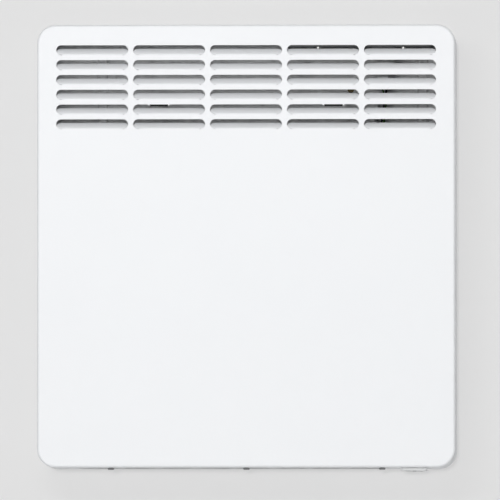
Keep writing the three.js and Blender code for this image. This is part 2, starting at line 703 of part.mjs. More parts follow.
// A push-in catch: a head under the casing with a release notch in its front, and a split stem.
function casingCatch() {
  const seat = -FIT_GAP;
  const half = CATCH_WIDTH / 2;
  const front = -CATCH_LENGTH / 2;
  const headHalf = [
    [half, seat],
    [half, -1.5],
    [half - 0.6, -CATCH_DROP],
  ];
  const mirrored = headHalf.map(([x, z]) => [-x, z]).reverse();
  const head = alongY(points([...headHalf, ...mirrored]), [front, -front]);
  const notch = box([-1.6, 1.6], [front - 1, front + 1.2], [-1.5, -0.9]);
  const barbHeight = 3.8;
  const barbFoot = CASING_SHEET + FIT_GAP + INTAKE_RIM_THICKNESS + 0.7;
  const stemTop = barbFoot + barbHeight;
  const stem = alongZ(circle([0, 0], CATCH_STEM_RADIUS, 12), [seat - 0.5, stemTop - 0.6]);
  const barb = alongX(
    points([
      [-2.9, barbFoot],
      [2.9, barbFoot],
      [1.2, stemTop],
      [-1.2, stemTop],
    ]),
    [-1.5, 1.5],
  );
  const split = box([-3, 3], [-0.4, 0.4], [barbFoot, stemTop + 1]);
  return cut(join([head, stem, barb]), [notch, split]);
}

// ---------------------------------------------------------------- rocker switch

const rad = (degrees) => (degrees * Math.PI) / 180;
const switchOutline = (grow) =>
  roundedRect(
    [SWITCH_X, SWITCH_Y],
    SWITCH_BODY_WIDTH + 2 * grow,
    SWITCH_BODY_LENGTH + 2 * grow,
    1,
    1,
  );

function switchBody() {
  const bezel = roundedRect([SWITCH_X, SWITCH_Y], SWITCH_BEZEL_WIDTH, SWITCH_BEZEL_LENGTH, 1.6, 2);
  const wellHalfX = ROCKER_WIDTH / 2 + ROCKER_CLEARANCE;
  const wellHalfY = ROCKER_LENGTH / 2 + 2.6 * ROCKER_CLEARANCE;
  const well = box(
    [SWITCH_X - wellHalfX, SWITCH_X + wellHalfX],
    [SWITCH_Y - wellHalfY, SWITCH_Y + wellHalfY],
    [SWITCH_FACE_Z - 1, ROCKER_PIVOT_Z + SWITCH_WELL_DEPTH],
  );
  const blade = box([-3.2, 3.2], [-0.4, 0.4], [SWITCH_TOP_Z - 1, BLADE_TOP_Z]);
  const blades = [-1, 0, 1].map((k) =>
    blade.translate([SWITCH_X, SWITCH_Y + k * SWITCH_BLADE_PITCH, 0]),
  );
  const shell = alongZ(bezel, [SWITCH_FACE_Z, BOTTOM_Z - FIT_GAP]).add(
    alongZ(switchOutline(0), [SWITCH_FACE_Z + 0.4, SWITCH_TOP_Z]),
  );
  return shell.subtract(well).add(join(blades));
}

// Drawn level about its pivot: both halves of its face slope away from the middle.
function rocker() {
  const half = ROCKER_LENGTH / 2;
  const slope = Math.tan(rad(ROCKER_HALF_TILT));
  const middle = SWITCH_FACE_Z + ROCKER_RECESS - ROCKER_PIVOT_Z - ROCKER_PROUD / 2;
  const end = middle - half * slope + ROCKER_PROUD / 2;
  const dish = 0.15;
  const skirt = 2.4;
  const rightHalf = [
    [half / 2, (middle + end) / 2 + dish],
    [half, end],
    [half - 0.2, end + skirt],
    [4, skirt],
  ];
  const leftHalf = rightHalf.map(([y, z]) => [-y, z]).reverse();
  const outline = points([[0, middle], ...rightHalf, ...leftHalf]);
  return alongX(outline, [-ROCKER_WIDTH / 2, ROCKER_WIDTH / 2]);
}

// ---------------------------------------------------------------- wall bracket

const UPRIGHT_DEPTH = WALL_GAP - FIT_GAP;
const wallHole = (x, z) =>
  alongY(circle([x, z], WALL_SCREW_RADIUS, 16), [-BRACKET_SHEET - 1, 1]);
const wallHoles = (z) => [-1, 1].map((side) => wallHole((side * WALL_SCREW_SPACING) / 2, z));
const railPlate = (middle) =>
  alongY(
    roundedRect([0, middle], 2 * RAIL_HALF_WIDTH, BRACKET_RAIL_HEIGHT, 5, 2),
    [-BRACKET_SHEET, 0],
  );

// The upper rail carries two tongues, each with an eye for a lever's nose.
function bracketTopRail() {
  const middle = BRACKET_TOP_Z - BRACKET_RAIL_HEIGHT / 2;
  const [eyeWidth, eyeLength] = TONGUE_EYE;
  const eyeFront = TONGUE_TIP - TONGUE_LENGTH;
  const tongue = box(
    [-TONGUE_WIDTH / 2, TONGUE_WIDTH / 2],
    [-TONGUE_LENGTH, -BRACKET_SHEET / 2],
    [TONGUE_Z - BRACKET_SHEET / 2, TONGUE_Z + BRACKET_SHEET / 2],
  ).subtract(
    box(
      [-eyeWidth / 2, eyeWidth / 2],
      [eyeFront, eyeFront + eyeLength],
      [TONGUE_Z - BRACKET_SHEET, TONGUE_Z + BRACKET_SHEET],
    ),
  );
  const tongues = HOOK_SIDES.map(([side]) => tongue.translate([hookX(side), 0, 0]));
  return cut(join([railPlate(middle), ...tongues]), wallHoles(middle));
}

// The lower rail carries two J-shaped hooks. The upper edge of a slot in the back panel rests
// in each valley, and the heater tilts about that edge.
function bracketBottomRail() {
  const middle = BRACKET_BOTTOM_Z + BRACKET_RAIL_HEIGHT / 2;
  const z = LOWER_HOOK_Z;
  const tip = BACK_INNER_Y - 8;
  const hook = alongX(
    points([
      [-BRACKET_SHEET / 2, z - 12],
      [-BRACKET_SHEET / 2, z + 8],
      [-8, z + 3],
      [REAR_Y + 2.5, z + 3],
      [REAR_Y + 1, z],
      [BACK_INNER_Y - 1.2, z],
      [tip + 4.2, z + HOOK_LIP],
      [tip + 2, z + HOOK_LIP],
      [tip, z + HOOK_LIP / 2],
      [tip, z - 3],
      [tip + 4, z - 7],
    ]),
    [-BRACKET_SHEET / 2, BRACKET_SHEET / 2],
  );
  const hooks = HOOK_SIDES.map(([side]) => hook.translate([hookX(side), 0, 0]));
  return cut(join([railPlate(middle), ...hooks]), wallHoles(middle));
}

// A hat-shaped upright: two feet on the wall and a crown that the back panel rests against.
function bracketUpright() {
  const sheet = BRACKET_SHEET;
  const half = UPRIGHT_WIDTH / 2;
  const rightHalf = [
    [half - sheet, sheet - UPRIGHT_DEPTH],
    [half - sheet, 0],
    [half + UPRIGHT_FOOT, 0],
    [half + UPRIGHT_FOOT, -sheet],
    [half, -sheet],
    [half, -UPRIGHT_DEPTH],
  ];
  const leftHalf = rightHalf.map(([x, y]) => [-x, y]).reverse();
  return alongZ(points([...rightHalf, ...leftHalf]), [
    BRACKET_BOTTOM_Z + BRACKET_RAIL_HEIGHT + FIT_GAP,
    BRACKET_TOP_Z - BRACKET_RAIL_HEIGHT - FIT_GAP,
  ]);
}

function bracketCentrePlate() {
  const width = 2 * (UPRIGHT_X - UPRIGHT_WIDTH / 2 - UPRIGHT_FOOT - FIT_GAP);
  const plate = alongY(roundedRect([0, 0], width, CENTRE_PLATE_HEIGHT, 3, 2), [-BRACKET_SHEET, 0]);
  const holes = [-1, 1].map((side) => wallHole((side * width) / 4, CENTRE_PLATE_HEIGHT / 4));
  return cut(plate, holes);
}

// ---------------------------------------------------------------- release levers

// Drawn open, about its pivot: the pad is down behind the louvre and the nose at the back is
// just above the tongue. Lifting the pad drops the nose into the tongue's eye.
function releaseLever() {
  const padFront = FRONT_Y + LEVER_PAD_SETBACK - LEVER_PIVOT_Y;
  const padBottom = RELEASE_Z - LEVER_PAD_BELOW_SLOT_EDGE - LEVER_Z;
  const eyeMiddle = TONGUE_TIP - TONGUE_LENGTH + TONGUE_EYE[1] / 2 - LEVER_PIVOT_Y;
  const nose = [eyeMiddle - 1.3, eyeMiddle + 1.7];
  const noseTip = BRACKET_SHEET / 2 + LEVER_NOSE_CLEARANCE - LEVER_ABOVE_TONGUE;
  const rear = nose[1] + 2.5;
  const half = LEVER_THICKNESS / 2;
  const bossBottom = -LEVER_PIN_DROP - LEVER_PIN_RADIUS - 1.4;
  const arm = alongX(
    points([
      [padFront + 1, -half],
      [-4, -half],
      [-3, bossBottom],
      [3, bossBottom],
      [4, -half],
      [rear, -half],
      [rear, half],
      [padFront + 1, half],
    ]),
    [-LEVER_ARM_WIDTH / 2, LEVER_ARM_WIDTH / 2],
  );
  const pad = box(
    [-LEVER_PAD_WIDTH / 2, LEVER_PAD_WIDTH / 2],
    [padFront, padFront + 2.2],
    [padBottom, half + 0.6],
  );
  const hook = alongX(
    points([
      [nose[0], 0],
      [nose[1], 0],
      [nose[1], noseTip],
      [nose[1] - 1, noseTip],
      [nose[0], noseTip + 1.6],
    ]),
    [-3.2, 3.2],
  );
  const bore = alongX(circle([0, -LEVER_PIN_DROP], LEVER_PIN_RADIUS + FIT_GAP, 10), [-20, 20]);
  return cut(join([arm, pad, hook]), [bore]);
}

// An ear that carries one end of the lever's pin, with a foot on the back panel.
function leverEar(side) {
  const mirrored = (from, to) => (side < 0 ? [-to, -from] : [from, to]);
  const rear = LEVER_PIVOT_REACH;
  const [bottom, top] = [-5, 3.2];
  const pinPlay = 0.1;
  const plate = alongX(
    points([
      [-5, bottom + 1.6],
      [-3.4, bottom],
      [rear, bottom],
      [rear, top],
      [-3.4, top],
      [-5, top - 1.6],
    ]),
    mirrored(EAR_INNER, EAR_INNER + EAR_SHEET),
  );
  const footWidth = mirrored(EAR_INNER, EAR_INNER + EAR_SHEET + EAR_FOOT);
  const foot = box(footWidth, [rear - EAR_SHEET, rear], [bottom, top]);
  const pinHole = alongX(circle([0, -LEVER_PIN_DROP], LEVER_PIN_RADIUS + pinPlay, 10), [-20, 20]);
  return join([plate, foot]).subtract(pinHole);
}

function leverPin() {
  const half = EAR_INNER + EAR_SHEET + 0.8;
  return alongX(circle([0, -LEVER_PIN_DROP], LEVER_PIN_RADIUS, 10), [-half, half]);
}

// ---------------------------------------------------------------- heating element

// Pressed fins on a sleeve that slides over the rod.
function elementFins() {
  const sleeve = alongX(circle([0, 0], ELEMENT_BORE + ELEMENT_SLEEVE_WALL, 10), [
    ELEMENT_LEFT - 2,
    ELEMENT_RIGHT + 2,
  ]);
  const [halfDepth, halfHeight] = [FIN_DEPTH / 2, FIN_HEIGHT / 2];
  const fin = box([0, FIN_THICKNESS], [-halfDepth, halfDepth], [-halfHeight, halfHeight]);
  const spaces = Math.floor((ELEMENT_RIGHT - ELEMENT_LEFT) / FIN_PITCH);
  const pitch = (ELEMENT_RIGHT - ELEMENT_LEFT - FIN_THICKNESS) / spaces;
  const fins = Array.from({ length: spaces + 1 }, (_, k) =>
    fin.translate([ELEMENT_LEFT + k * pitch, 0, 0]),
  );
  const bore = alongX(circle([0, 0], ELEMENT_BORE, 10), [ELEMENT_LEFT - 10, ELEMENT_RIGHT + 10]);
  return join([sleeve, ...fins]).subtract(bore);
}

function elementRod() {
  const rod = alongX(circle([0, 0], ELEMENT_ROD_RADIUS, 10), [
    ELEMENT_LEFT - ROD_OVERHANG,
    ELEMENT_RIGHT + ROD_OVERHANG,
  ]);
  const studs = alongX(circle([0, 0], ELEMENT_STUD_RADIUS, 8), [
    ELEMENT_LEFT - STUD_END,
    ELEMENT_RIGHT + STUD_END,
  ]);
  return rod.add(studs);
}

// A plate that holds one end of the element, with feet on the back panel and on the heat shield.
function elementSupport() {
  const rear = BACK_FIT_Y - ELEMENT_Y;
  const front = SHIELD_Y + SHIELD_SHEET + FIT_GAP - ELEMENT_Y;
  const shoulder = [-16, (SUPPORT_REAR_HALF + 18) / 2];
  const plate = alongX(
    points([
      [front, -SUPPORT_FRONT_HALF],
      [shoulder[0], -shoulder[1]],
      [rear, -SUPPORT_REAR_HALF],
      [rear, SUPPORT_REAR_HALF],
      shoulder,
      [front, SUPPORT_FRONT_HALF],
    ]),
    [0, SUPPORT_SHEET],
  );
  const foot = (y, half) => box([0, SUPPORT_FOOT], [y, y + SUPPORT_SHEET], [-half, half]);
  const rearFoot = foot(rear - SUPPORT_SHEET, SUPPORT_REAR_HALF);
  const frontFoot = foot(front, SUPPORT_FRONT_HALF);
  const hole = alongX(circle([0, 0], BUSH_WAIST + FIT_GAP, 12), [-5, SUPPORT_FOOT + 5]);
  return join([plate, rearFoot, frontFoot]).subtract(hole);
}

// A grooved ceramic bush: its waist sits in the support's hole.
function ceramicBush() {
  const half = BUSH_LENGTH / 2;
  const groove = SUPPORT_SHEET / 2 + FIT_GAP;
  const profile = points([
    [ELEMENT_BORE, -half],
    [BUSH_RADIUS, -half],
    [BUSH_RADIUS, -groove],
    [BUSH_WAIST, -groove],
    [BUSH_WAIST, groove],
    [BUSH_RADIUS, groove],
    [BUSH_RADIUS, half],
    [ELEMENT_BORE, half],
    [ELEMENT_BORE, -half],
  ]);
  return new THREE.LatheGeometry(profile, 12).rotateZ(Math.PI / 2);
}

// A flat screen between the element and the face, its upper edge turned back to steer the air.
function heatShield() {
  const y = SHIELD_Y;
  const top = SHIELD_TOP_Z;
  return alongX(
    points([
      [y, SHIELD_BOTTOM_Z],
      [y + SHIELD_SHEET, SHIELD_BOTTOM_Z],
      [y + SHIELD_SHEET, top - 4.8],
      [y + SHIELD_TURN, top - 1],
      [y + SHIELD_TURN, top],
      [y, top - 4],
    ]),
    [ELEMENT_LEFT - ROD_OVERHANG, ELEMENT_RIGHT + ROD_OVERHANG],
  );
}

// A snap disc in a cup, with an ear each side and two blades.
function thermalCutout() {
  const cup = alongY(circle([0, 0], CUTOUT_RADIUS, 14), [-9, 0]);
  const ears = box([-14, 14], [-0.8, 0], [-4, 4]);
  const blades = [-1, 1].map((side) => {
    const x = (side * CUTOUT_RADIUS) / 2;
    return box([x - 0.4, x + 0.4], [-CUTOUT_BLADE_REACH, -8], [-3, 3]);
  });
  return join([cup, ears, ...blades]);
}

// ---------------------------------------------------------------- divider and duct

// A leaning sheet between the warm side and the bay on the right, with a tapering gusset at its
// head that reaches up to the control housing.
function bayDivider() {
  const leaning = (z, dx = 0) => [dividerX(z) + dx, z];
  const bendTop = DIVIDER_Z + 14;
  const sheet = alongY(
    points([
      leaning(DIVIDER_BOTTOM_Z),
      leaning(bendTop),
      leaning(bendTop, -DIVIDER_SHEET),
      leaning(DIVIDER_BOTTOM_Z, -DIVIDER_SHEET),
    ]),
    [DIVIDER_Y, BACK_FIT_Y],
  );
  const top = CONTROL_FLOOR_Z - FIT_GAP;
  const gusset = alongY(
    points([
      [DIVIDER_X - 0.3, DIVIDER_Z - 3],
      [DIVIDER_X + 9, DIVIDER_Z + 14],
      [DIVIDER_X + 15, DIVIDER_Z + 31],
      [DIVIDER_X + 15.6, top - 6],
      [DIVIDER_X + 18.4, top - 6],
      [DIVIDER_X + 18.4, top],
      [DIVIDER_X - 7.2, top],
      [DIVIDER_X - 7.2, top - 6],
      [DIVIDER_X - 4.2, top - 6],
      [DIVIDER_X - 3.4, DIVIDER_Z + 31],
      [DIVIDER_X - 1.8, DIVIDER_Z + 14],
      [DIVIDER_X - 1, DIVIDER_Z - 3],
    ]),
    [DIVIDER_Y, DIVIDER_Y + DIVIDER_SHEET],
  );
  const leadNotch = box(
    [dividerX(EARTH_Z) - 20, dividerX(EARTH_Z) + 20],
    [BACK_FIT_Y - 9, 0],
    [EARTH_Z - 2, EARTH_Z + 7],
  );
  return sheet.subtract(leadNotch).add(gusset);
}

// A channel clipped to the divider, open to the front, that keeps the leads together.
function wiringDuct() {
  const wall = DUCT_WALL;
  const left = FIT_GAP / Math.cos(DUCT_LEAN);
  const right = left + DUCT_WIDTH;
  const rear = DUCT_FRONT + DUCT_DEPTH;
  const outer = box([left, right], [DUCT_FRONT, rear], [-DUCT_LENGTH, 0]);
  const hollow = box(
    [left + wall, right - wall],
    [DUCT_FRONT - 1, rear - wall],
    [-DUCT_LENGTH - 1, 1],
  );
  return outer.subtract(hollow);
}

// ---------------------------------------------------------------- control unit

// Heights in this section are measured from the control unit's top, which is under the casing.
const FASCIA_TOP = FIT_GAP + CASING_SHEET - 0.2;
const FASCIA_UNDERSIDE = -FASCIA_THICKNESS + FIT_GAP;
const HOUSING_INSIDE = -CONTROL_HEIGHT + CONTROL_WALL;
const BOARD_TOP = -BOARD_DROP;
const BOARD_UNDERSIDE = BOARD_TOP - BOARD_THICKNESS;
const BUTTON_FOOT = -5.2;
const BOSS_RADIUS = 3.2;
const POST_RADIUS = 3.2;
const BOARD_MARGIN = 3;
const BOARD_HALF_DEPTH = CONTROL_DEPTH / 2 - BOARD_MARGIN;
const LEAD_EXIT_X = [14, 18, 22];
const LEAD_EXIT_Z = BOARD_UNDERSIDE - 1.6;
const BOARD_TERMINAL_BACK = CONTROL_DEPTH / 2 - 8;
const WINDOW_SEAT = -0.6;
const DISPLAY_SILL = 2;
const buttonX = (k) => BUTTON_FIRST_OFFSET + k * BUTTON_PITCH;
const buttonOutline = (centre, grow, steps) =>
  roundedRect(centre, BUTTON_WIDTH + 2 * grow, BUTTON_DEPTH + 2 * grow, 2 + grow, steps);
const postPlaces = [-1, 1].flatMap((sx) =>
  [-1, 1].map((sy) => [sx * (CONTROL_WIDTH / 2 - 9), sy * (CONTROL_DEPTH / 2 - 8)]),
);
const controlScrewPlaces = [-1, 1].map((side) => [
  side * CONTROL_SCREW_OFFSET,
  -DISPLAY_DEPTH / 2 - CONTROL_SCREW_BEFORE_DISPLAY,
]);
const controlOutline = (centre, margin, radius) =>
  roundedRect(centre, CONTROL_WIDTH - 2 * margin, CONTROL_DEPTH - 2 * margin, radius, 2);
const housingOutline = (inset) => controlOutline([0, 0], inset, CONTROL_CORNER - inset);
const fasciaOutline = (centre, inset) =>
  controlOutline(centre, FASCIA_MARGIN + inset, CONTROL_CORNER - inset);

const controlScrewHole = (place, z) =>
  alongZ(circle(place, HOUSING_SCREW.shank + FIT_GAP, 8), z);

function controlHousing() {
  const tub = alongZ(housingOutline(0), [-CONTROL_HEIGHT, -FASCIA_THICKNESS]).subtract(
    alongZ(housingOutline(CONTROL_WALL), [HOUSING_INSIDE, 1]),
  );
  const posts = postPlaces.map((place) =>
    alongZ(circle(place, POST_RADIUS, 8), [HOUSING_INSIDE - 0.5, BOARD_UNDERSIDE - FIT_GAP]),
  );
  const screwHoles = controlScrewPlaces.map((place) =>
    controlScrewHole(place, [-CONTROL_HEIGHT - 1, HOUSING_INSIDE + 1]),
  );
  const exit = box(
    [LEAD_EXIT_X[0] - 2, LEAD_EXIT_X[2] + 2],
    [CONTROL_DEPTH / 2 - 5, CONTROL_DEPTH / 2 + 1],
    [LEAD_EXIT_Z - 2.6, LEAD_EXIT_Z + 1.6],
  );
  return cut(join([tub, ...posts]), [...screwHoles, exit]);
}

// The top plate shows through the casing. Two bosses under it take the housing's screws.
function controlFascia() {
  const plate = join([
    alongZ(fasciaOutline([0, 0], FIT_GAP), [FASCIA_UNDERSIDE, FASCIA_TOP]),
    alongZ(housingOutline(0), [FASCIA_UNDERSIDE, 0]),
    ...controlScrewPlaces.map((place) =>
      alongZ(circle(place, BOSS_RADIUS, 10), [HOUSING_INSIDE + FIT_GAP, FASCIA_UNDERSIDE + 0.5]),
    ),
  ]);
  const window = roundedRect([DISPLAY_OFFSET, 0], DISPLAY_WIDTH, DISPLAY_DEPTH, 2, 2);
  const sill = roundedRect(
    [DISPLAY_OFFSET, 0],
    DISPLAY_WIDTH - 2 * DISPLAY_SILL,
    DISPLAY_DEPTH - 2 * DISPLAY_SILL,
    1,
    1,
  );
  const keyHoles = BUTTON_NAMES.map((_, k) =>
    alongZ(buttonOutline([buttonX(k), 0], FIT_GAP, 2), [-5, 5]),
  );
  const screwHoles = controlScrewPlaces.map((place) =>
    controlScrewHole(place, [-CONTROL_HEIGHT, -FASCIA_THICKNESS - 1]),
  );
  const seats = [alongZ(window, [WINDOW_SEAT, 3]), alongZ(sill, [-5, 3])];
  return cut(plate, [...seats, ...keyHoles, ...screwHoles]);
}

const displayWindow = () =>
  alongZ(
    roundedRect(
      [DISPLAY_OFFSET, 0],
      DISPLAY_WIDTH - 2 * FIT_GAP,
      DISPLAY_DEPTH - 2 * FIT_GAP,
      2 - FIT_GAP,
      2,
    ),
    [WINDOW_SEAT + FIT_GAP, FASCIA_TOP - 0.1],
  );

function displayModule() {
  const half = [DISPLAY_WIDTH / 2 - DISPLAY_SILL, DISPLAY_DEPTH / 2 - 0.5];
  const centred = (halfX, halfY, z) =>
    box([DISPLAY_OFFSET - halfX, DISPLAY_OFFSET + halfX], [-halfY, halfY], z);
  const frame = centred(...half, [BOARD_TOP + FIT_GAP, FASCIA_UNDERSIDE - FIT_GAP]);
  const cell = centred(half[0] - 2, half[1] - 2.5, [FASCIA_UNDERSIDE - 2, FASCIA_UNDERSIDE + 0.7]);
  return frame.add(cell);
}

// The board carries a key switch under each button, a relay, a capacitor and a terminal.
function controlBoard() {
  const plate = alongZ(controlOutline([0, 0], BOARD_MARGIN, 2), [BOARD_UNDERSIDE, BOARD_TOP]);
  const sunk = 0.4;
  const keys = BUTTON_NAMES.map((_, k) => {
    const x = buttonX(k);
    const plungerTop = BUTTON_FOOT - BUTTON_TRAVEL - FIT_GAP;
    return box([x - 3, x + 3], [-3, 3], [BOARD_TOP - sunk, plungerTop - 1]).add(
      alongZ(circle([x, 0], 1.7, 8), [BOARD_TOP - sunk, plungerTop]),
    );
  });
  const above = (x, y, height) => box(x, y, [BOARD_TOP - sunk, BOARD_TOP + height]);
  const besideDisplay = DISPLAY_OFFSET + DISPLAY_WIDTH / 2;
  const behindDisplay = DISPLAY_DEPTH / 2 + 1;
  const relay = above([besideDisplay, besideDisplay + 10], [-9, 13], 6.8);
  const capacitor = above([-66, -54], [behindDisplay, behindDisplay + 7], 6.2);
  const fuse = above([12, 32], [4 - BOARD_HALF_DEPTH, 10 - BOARD_HALF_DEPTH], 5);
  const terminal = box(
    [LEAD_EXIT_X[0] - 3, LEAD_EXIT_X[2] + 3],
    [BOARD_TERMINAL_BACK - 11, BOARD_TERMINAL_BACK],
    [HOUSING_INSIDE + FIT_GAP, BOARD_UNDERSIDE + sunk],
  );
  const bossHoles = controlScrewPlaces.map((place) =>
    alongZ(circle(place, BOSS_RADIUS + FIT_GAP, 10), [BOARD_UNDERSIDE - 1, BOARD_TOP + 1]),
  );
  return cut(join([plate, ...keys, relay, capacitor, fuse, terminal]), bossHoles);
}

function pushButton() {
  const collarTop = FASCIA_UNDERSIDE - FIT_GAP;
  return join([
    alongZ(buttonOutline([0, 0], 0, 2), [collarTop - 0.5, FASCIA_TOP + BUTTON_PROUD]),
    alongZ(buttonOutline([0, 0], 1.3, 1), [collarTop - 1, collarTop]),
    alongZ(circle([0, 0], 2.6, 8), [BUTTON_FOOT, collarTop - 0.5]),
  ]);
}

// ---------------------------------------------------------------- inlet, terminals and sensor

// The inlet for the supply cord: a nose and a flange behind the back panel, a barrel through it.
function cableGland() {
  const seat = REAR_Y + FIT_GAP;
  const round = (radius, y, sides = 14) => alongY(circle(GLAND_AT, radius, sides), y);
  const barrel = round(GLAND_RADIUS, [BACK_INNER_Y - 12, seat + 1]);
  const flange = round(GLAND_RADIUS + 4, [seat, seat + GLAND_COLLAR]);
  const noseEnd = seat + GLAND_COLLAR + GLAND_NOSE;
  const nose = round(GLAND_RADIUS - 2, [seat + GLAND_COLLAR - 1, noseEnd]);
  const bore = round(GLAND_BORE, [BACK_INNER_Y - 20, 0], 12);
  return join([barrel, flange, nose]).subtract(bore);
}

function glandNut() {
  const front = BACK_FIT_Y - 5;
  const hex = alongY(circle(GLAND_AT, GLAND_RADIUS + 4.2, 6), [front, BACK_FIT_Y]);
  const bore = circle(GLAND_AT, GLAND_RADIUS + FIT_GAP, 14);
  return hex.subtract(alongY(bore, [front - 1, BACK_FIT_Y + 1]));
}

function terminalBlock() {
  const [halfX, halfZ] = TERMINAL_HALF;
  const body = box([-halfX, halfX], [-TERMINAL_DEPTH, 0], [-halfZ, halfZ]);
  const wellPitch = halfX / 2;
  const screwWells = [-1.5, -0.5, 0.5, 1.5].map((k) =>
    alongY(circle([k * wellPitch, 0], 2.6, 8), [-TERMINAL_DEPTH - 1, -TERMINAL_DEPTH / 2]),
  );
  return cut(body, screwWells);
}

// A ring on an arm holds the room sensor in the rising air, clear of the back panel.
function sensorHolder() {
  const arm = box([-4, 4], [-SENSOR_REACH + 2, 0], [-1.5, 1.5]);
  const foot = box([-8, 8], [-1.6, 0], [-8, 8]);
  const ring = alongZ(circle([0, -SENSOR_REACH], SENSOR_RADIUS + 2, 12), [-3, 3]);
  const bore = alongZ(circle([0, -SENSOR_REACH], SENSOR_RADIUS + FIT_GAP, 12), [-5, 5]);
  return join([arm, foot, ring]).subtract(bore);
}

function sensorBead() {
  const half = SENSOR_HALF_LENGTH;
  const profile = points([
    [0, -half - 1],
    [SENSOR_RADIUS * 0.7, -half - 0.4],
    [SENSOR_RADIUS, -half + 1],
    [SENSOR_RADIUS, half],
    [0, half],
  ]);
  return new THREE.LatheGeometry(profile, 10).rotateX(Math.PI / 2);
}

// ---------------------------------------------------------------- leads

// A round lead along a smooth line through the given points.
function lead(route, radius, steps) {
  const curve = new THREE.CatmullRomCurve3(route.map((p) => new THREE.Vector3(...p)));
  const section = new THREE.Shape(circle([0, 0], radius, 6));
  return solid(new THREE.ExtrudeGeometry(section, { steps, extrudePath: curve, bevelEnabled: false }));
}

// Where a lead runs in the duct: k counts back from the open front.
const inDuct = (k, z) => [
  dividerX(z) + DUCT_WIDTH / 2 + FIT_GAP,
  DUCT_FRONT + 3 + k * LEAD_SPACING,
  z,
];

// From the control unit's rear wall down into the duct, and straight out of its lower end.
function fromBoard(k) {
  const x = CONTROL_X + LEAD_EXIT_X[k];
  const z = CONTROL_TOP_Z + LEAD_EXIT_Z;
  const wall = CONTROL_Y + CONTROL_DEPTH / 2;
  return [
    [x, CONTROL_Y + BOARD_TERMINAL_BACK + FIT_GAP, z],
    [x, wall + 1, z],
    [x, wall + 6, z - 1],
    [x + 3, wall + 7, z - 12],
    inDuct(k, DIVIDER_Z + 18),
    inDuct(k, DIVIDER_Z),
    inDuct(k, DUCT_TOP_Z + 20),
    inDuct(k, DUCT_TOP_Z - 20),
    inDuct(k, DUCT_END_Z + 30),
    inDuct(k, DUCT_END_Z + 8),
    inDuct(k, DUCT_END_Z - 6),
  ];
}

// Each of these gives a lead's end and a point straight out from it.
const STRAIGHT = 5;
const elementStud = (x, side) => [
  [x + side * FIT_GAP, ELEMENT_Y, ELEMENT_Z],
  [x + side * STRAIGHT, ELEMENT_Y, ELEMENT_Z],
];
const switchBlade = (k) =>
  [FIT_GAP, STRAIGHT].map((up) => [SWITCH_X, SWITCH_Y + k * SWITCH_BLADE_PITCH, BLADE_TOP_Z + up]);
const cutoutBlade = (side) =>
  [FIT_GAP, STRAIGHT].map((out) => [
    CUTOUT_X + (side * CUTOUT_RADIUS) / 2,
    BACK_FIT_Y - CUTOUT_BLADE_REACH - out,
    CUTOUT_Z,
  ]);
const terminalEdge = (dx, up) =>
  [FIT_GAP, STRAIGHT].map((out) => [
    TERMINAL_X + dx,
    BACK_FIT_Y - TERMINAL_DEPTH / 2,
    TERMINAL_Z + up * (TERMINAL_HALF[1] + out),
  ]);

function leadRoutes() {
  const right = ELEMENT_RIGHT + STUD_END;
  const left = ELEMENT_LEFT - STUD_END;
  return {
    lead_terminal_switch: [
      ...terminalEdge(-5, -1),
      [TERMINAL_X - 5, BACK_FIT_Y - 12, TERMINAL_Z - 24],
      [SWITCH_X, SWITCH_Y + 14, BLADE_TOP_Z + 30],
      [SWITCH_X, SWITCH_Y - SWITCH_BLADE_PITCH + 2, BLADE_TOP_Z + 14],
      ...switchBlade(-1).reverse(),
    ],
    lead_switch_board: [
      ...fromBoard(0),
      [right + 8, SWITCH_Y + 3, DUCT_END_Z - 40],
      [SWITCH_X - 6, SWITCH_Y + 6, BLADE_TOP_Z + 28],
      ...switchBlade(1).reverse(),
    ],
    lead_board_element: [
      ...fromBoard(1),
      [right, ELEMENT_Y + 8, DUCT_END_Z - 18],
      [right + 10, ELEMENT_Y + 3, ELEMENT_Z + 10],
      ...elementStud(right, 1).reverse(),
    ],
    lead_sensor: [
      ...fromBoard(2),
      [right + 8, BACK_FIT_Y - 20.4, DUCT_END_Z - 28],
      [SENSOR_X - 4, BACK_FIT_Y - 22.4, SENSOR_Z + 42],
      [SENSOR_X, BACK_FIT_Y - SENSOR_REACH, SENSOR_Z + 20],
      [SENSOR_X, BACK_FIT_Y - SENSOR_REACH, SENSOR_Z + SENSOR_HALF_LENGTH + FIT_GAP],
    ],
    lead_element_cutout: [
      ...elementStud(left, -1),
      [left - 2, ELEMENT_Y + 8, ELEMENT_Z + 12],
      [left + 8, BACK_FIT_Y - 14.4, ELEMENT_Z + 28],
      [left + 50, BACK_FIT_Y - 8.4, CUTOUT_Z],
      [CUTOUT_X - 30, BACK_FIT_Y - 12.4, CUTOUT_Z],
      ...cutoutBlade(-1).reverse(),
    ],
    lead_cutout_terminal: [
      ...cutoutBlade(1),
      [CUTOUT_X + 30, BACK_FIT_Y - 12.4, CUTOUT_Z - 2],
      [dividerX(DIVIDER_BOTTOM_Z), BACK_FIT_Y - 8.4, DIVIDER_BOTTOM_Z - 3],
      [TERMINAL_X - 12, BACK_FIT_Y - 9.4, TERMINAL_Z + 30],
      ...terminalEdge(-5, 1).reverse(),
    ],
    lead_earth: [
      [EARTH_X + EARTH_SCREW.head + FIT_GAP, BACK_FIT_Y - 1.6, EARTH_Z + 1],
      [dividerX(EARTH_Z) - 8, BACK_FIT_Y - 3, EARTH_Z + 3],
      [dividerX(EARTH_Z) + 3, BACK_FIT_Y - 5, EARTH_Z + 1],
      [dividerX(DUCT_TOP_Z) + 10, BACK_FIT_Y - 7, DUCT_TOP_Z],
      [TERMINAL_X - 20, BACK_FIT_Y - 7, DUCT_TOP_Z - 110],
      [TERMINAL_X + 5, BACK_FIT_Y - TERMINAL_DEPTH / 2, TERMINAL_Z + 30],
      ...terminalEdge(5, 1).reverse(),
    ],
  };
}

// ---------------------------------------------------------------- assembly

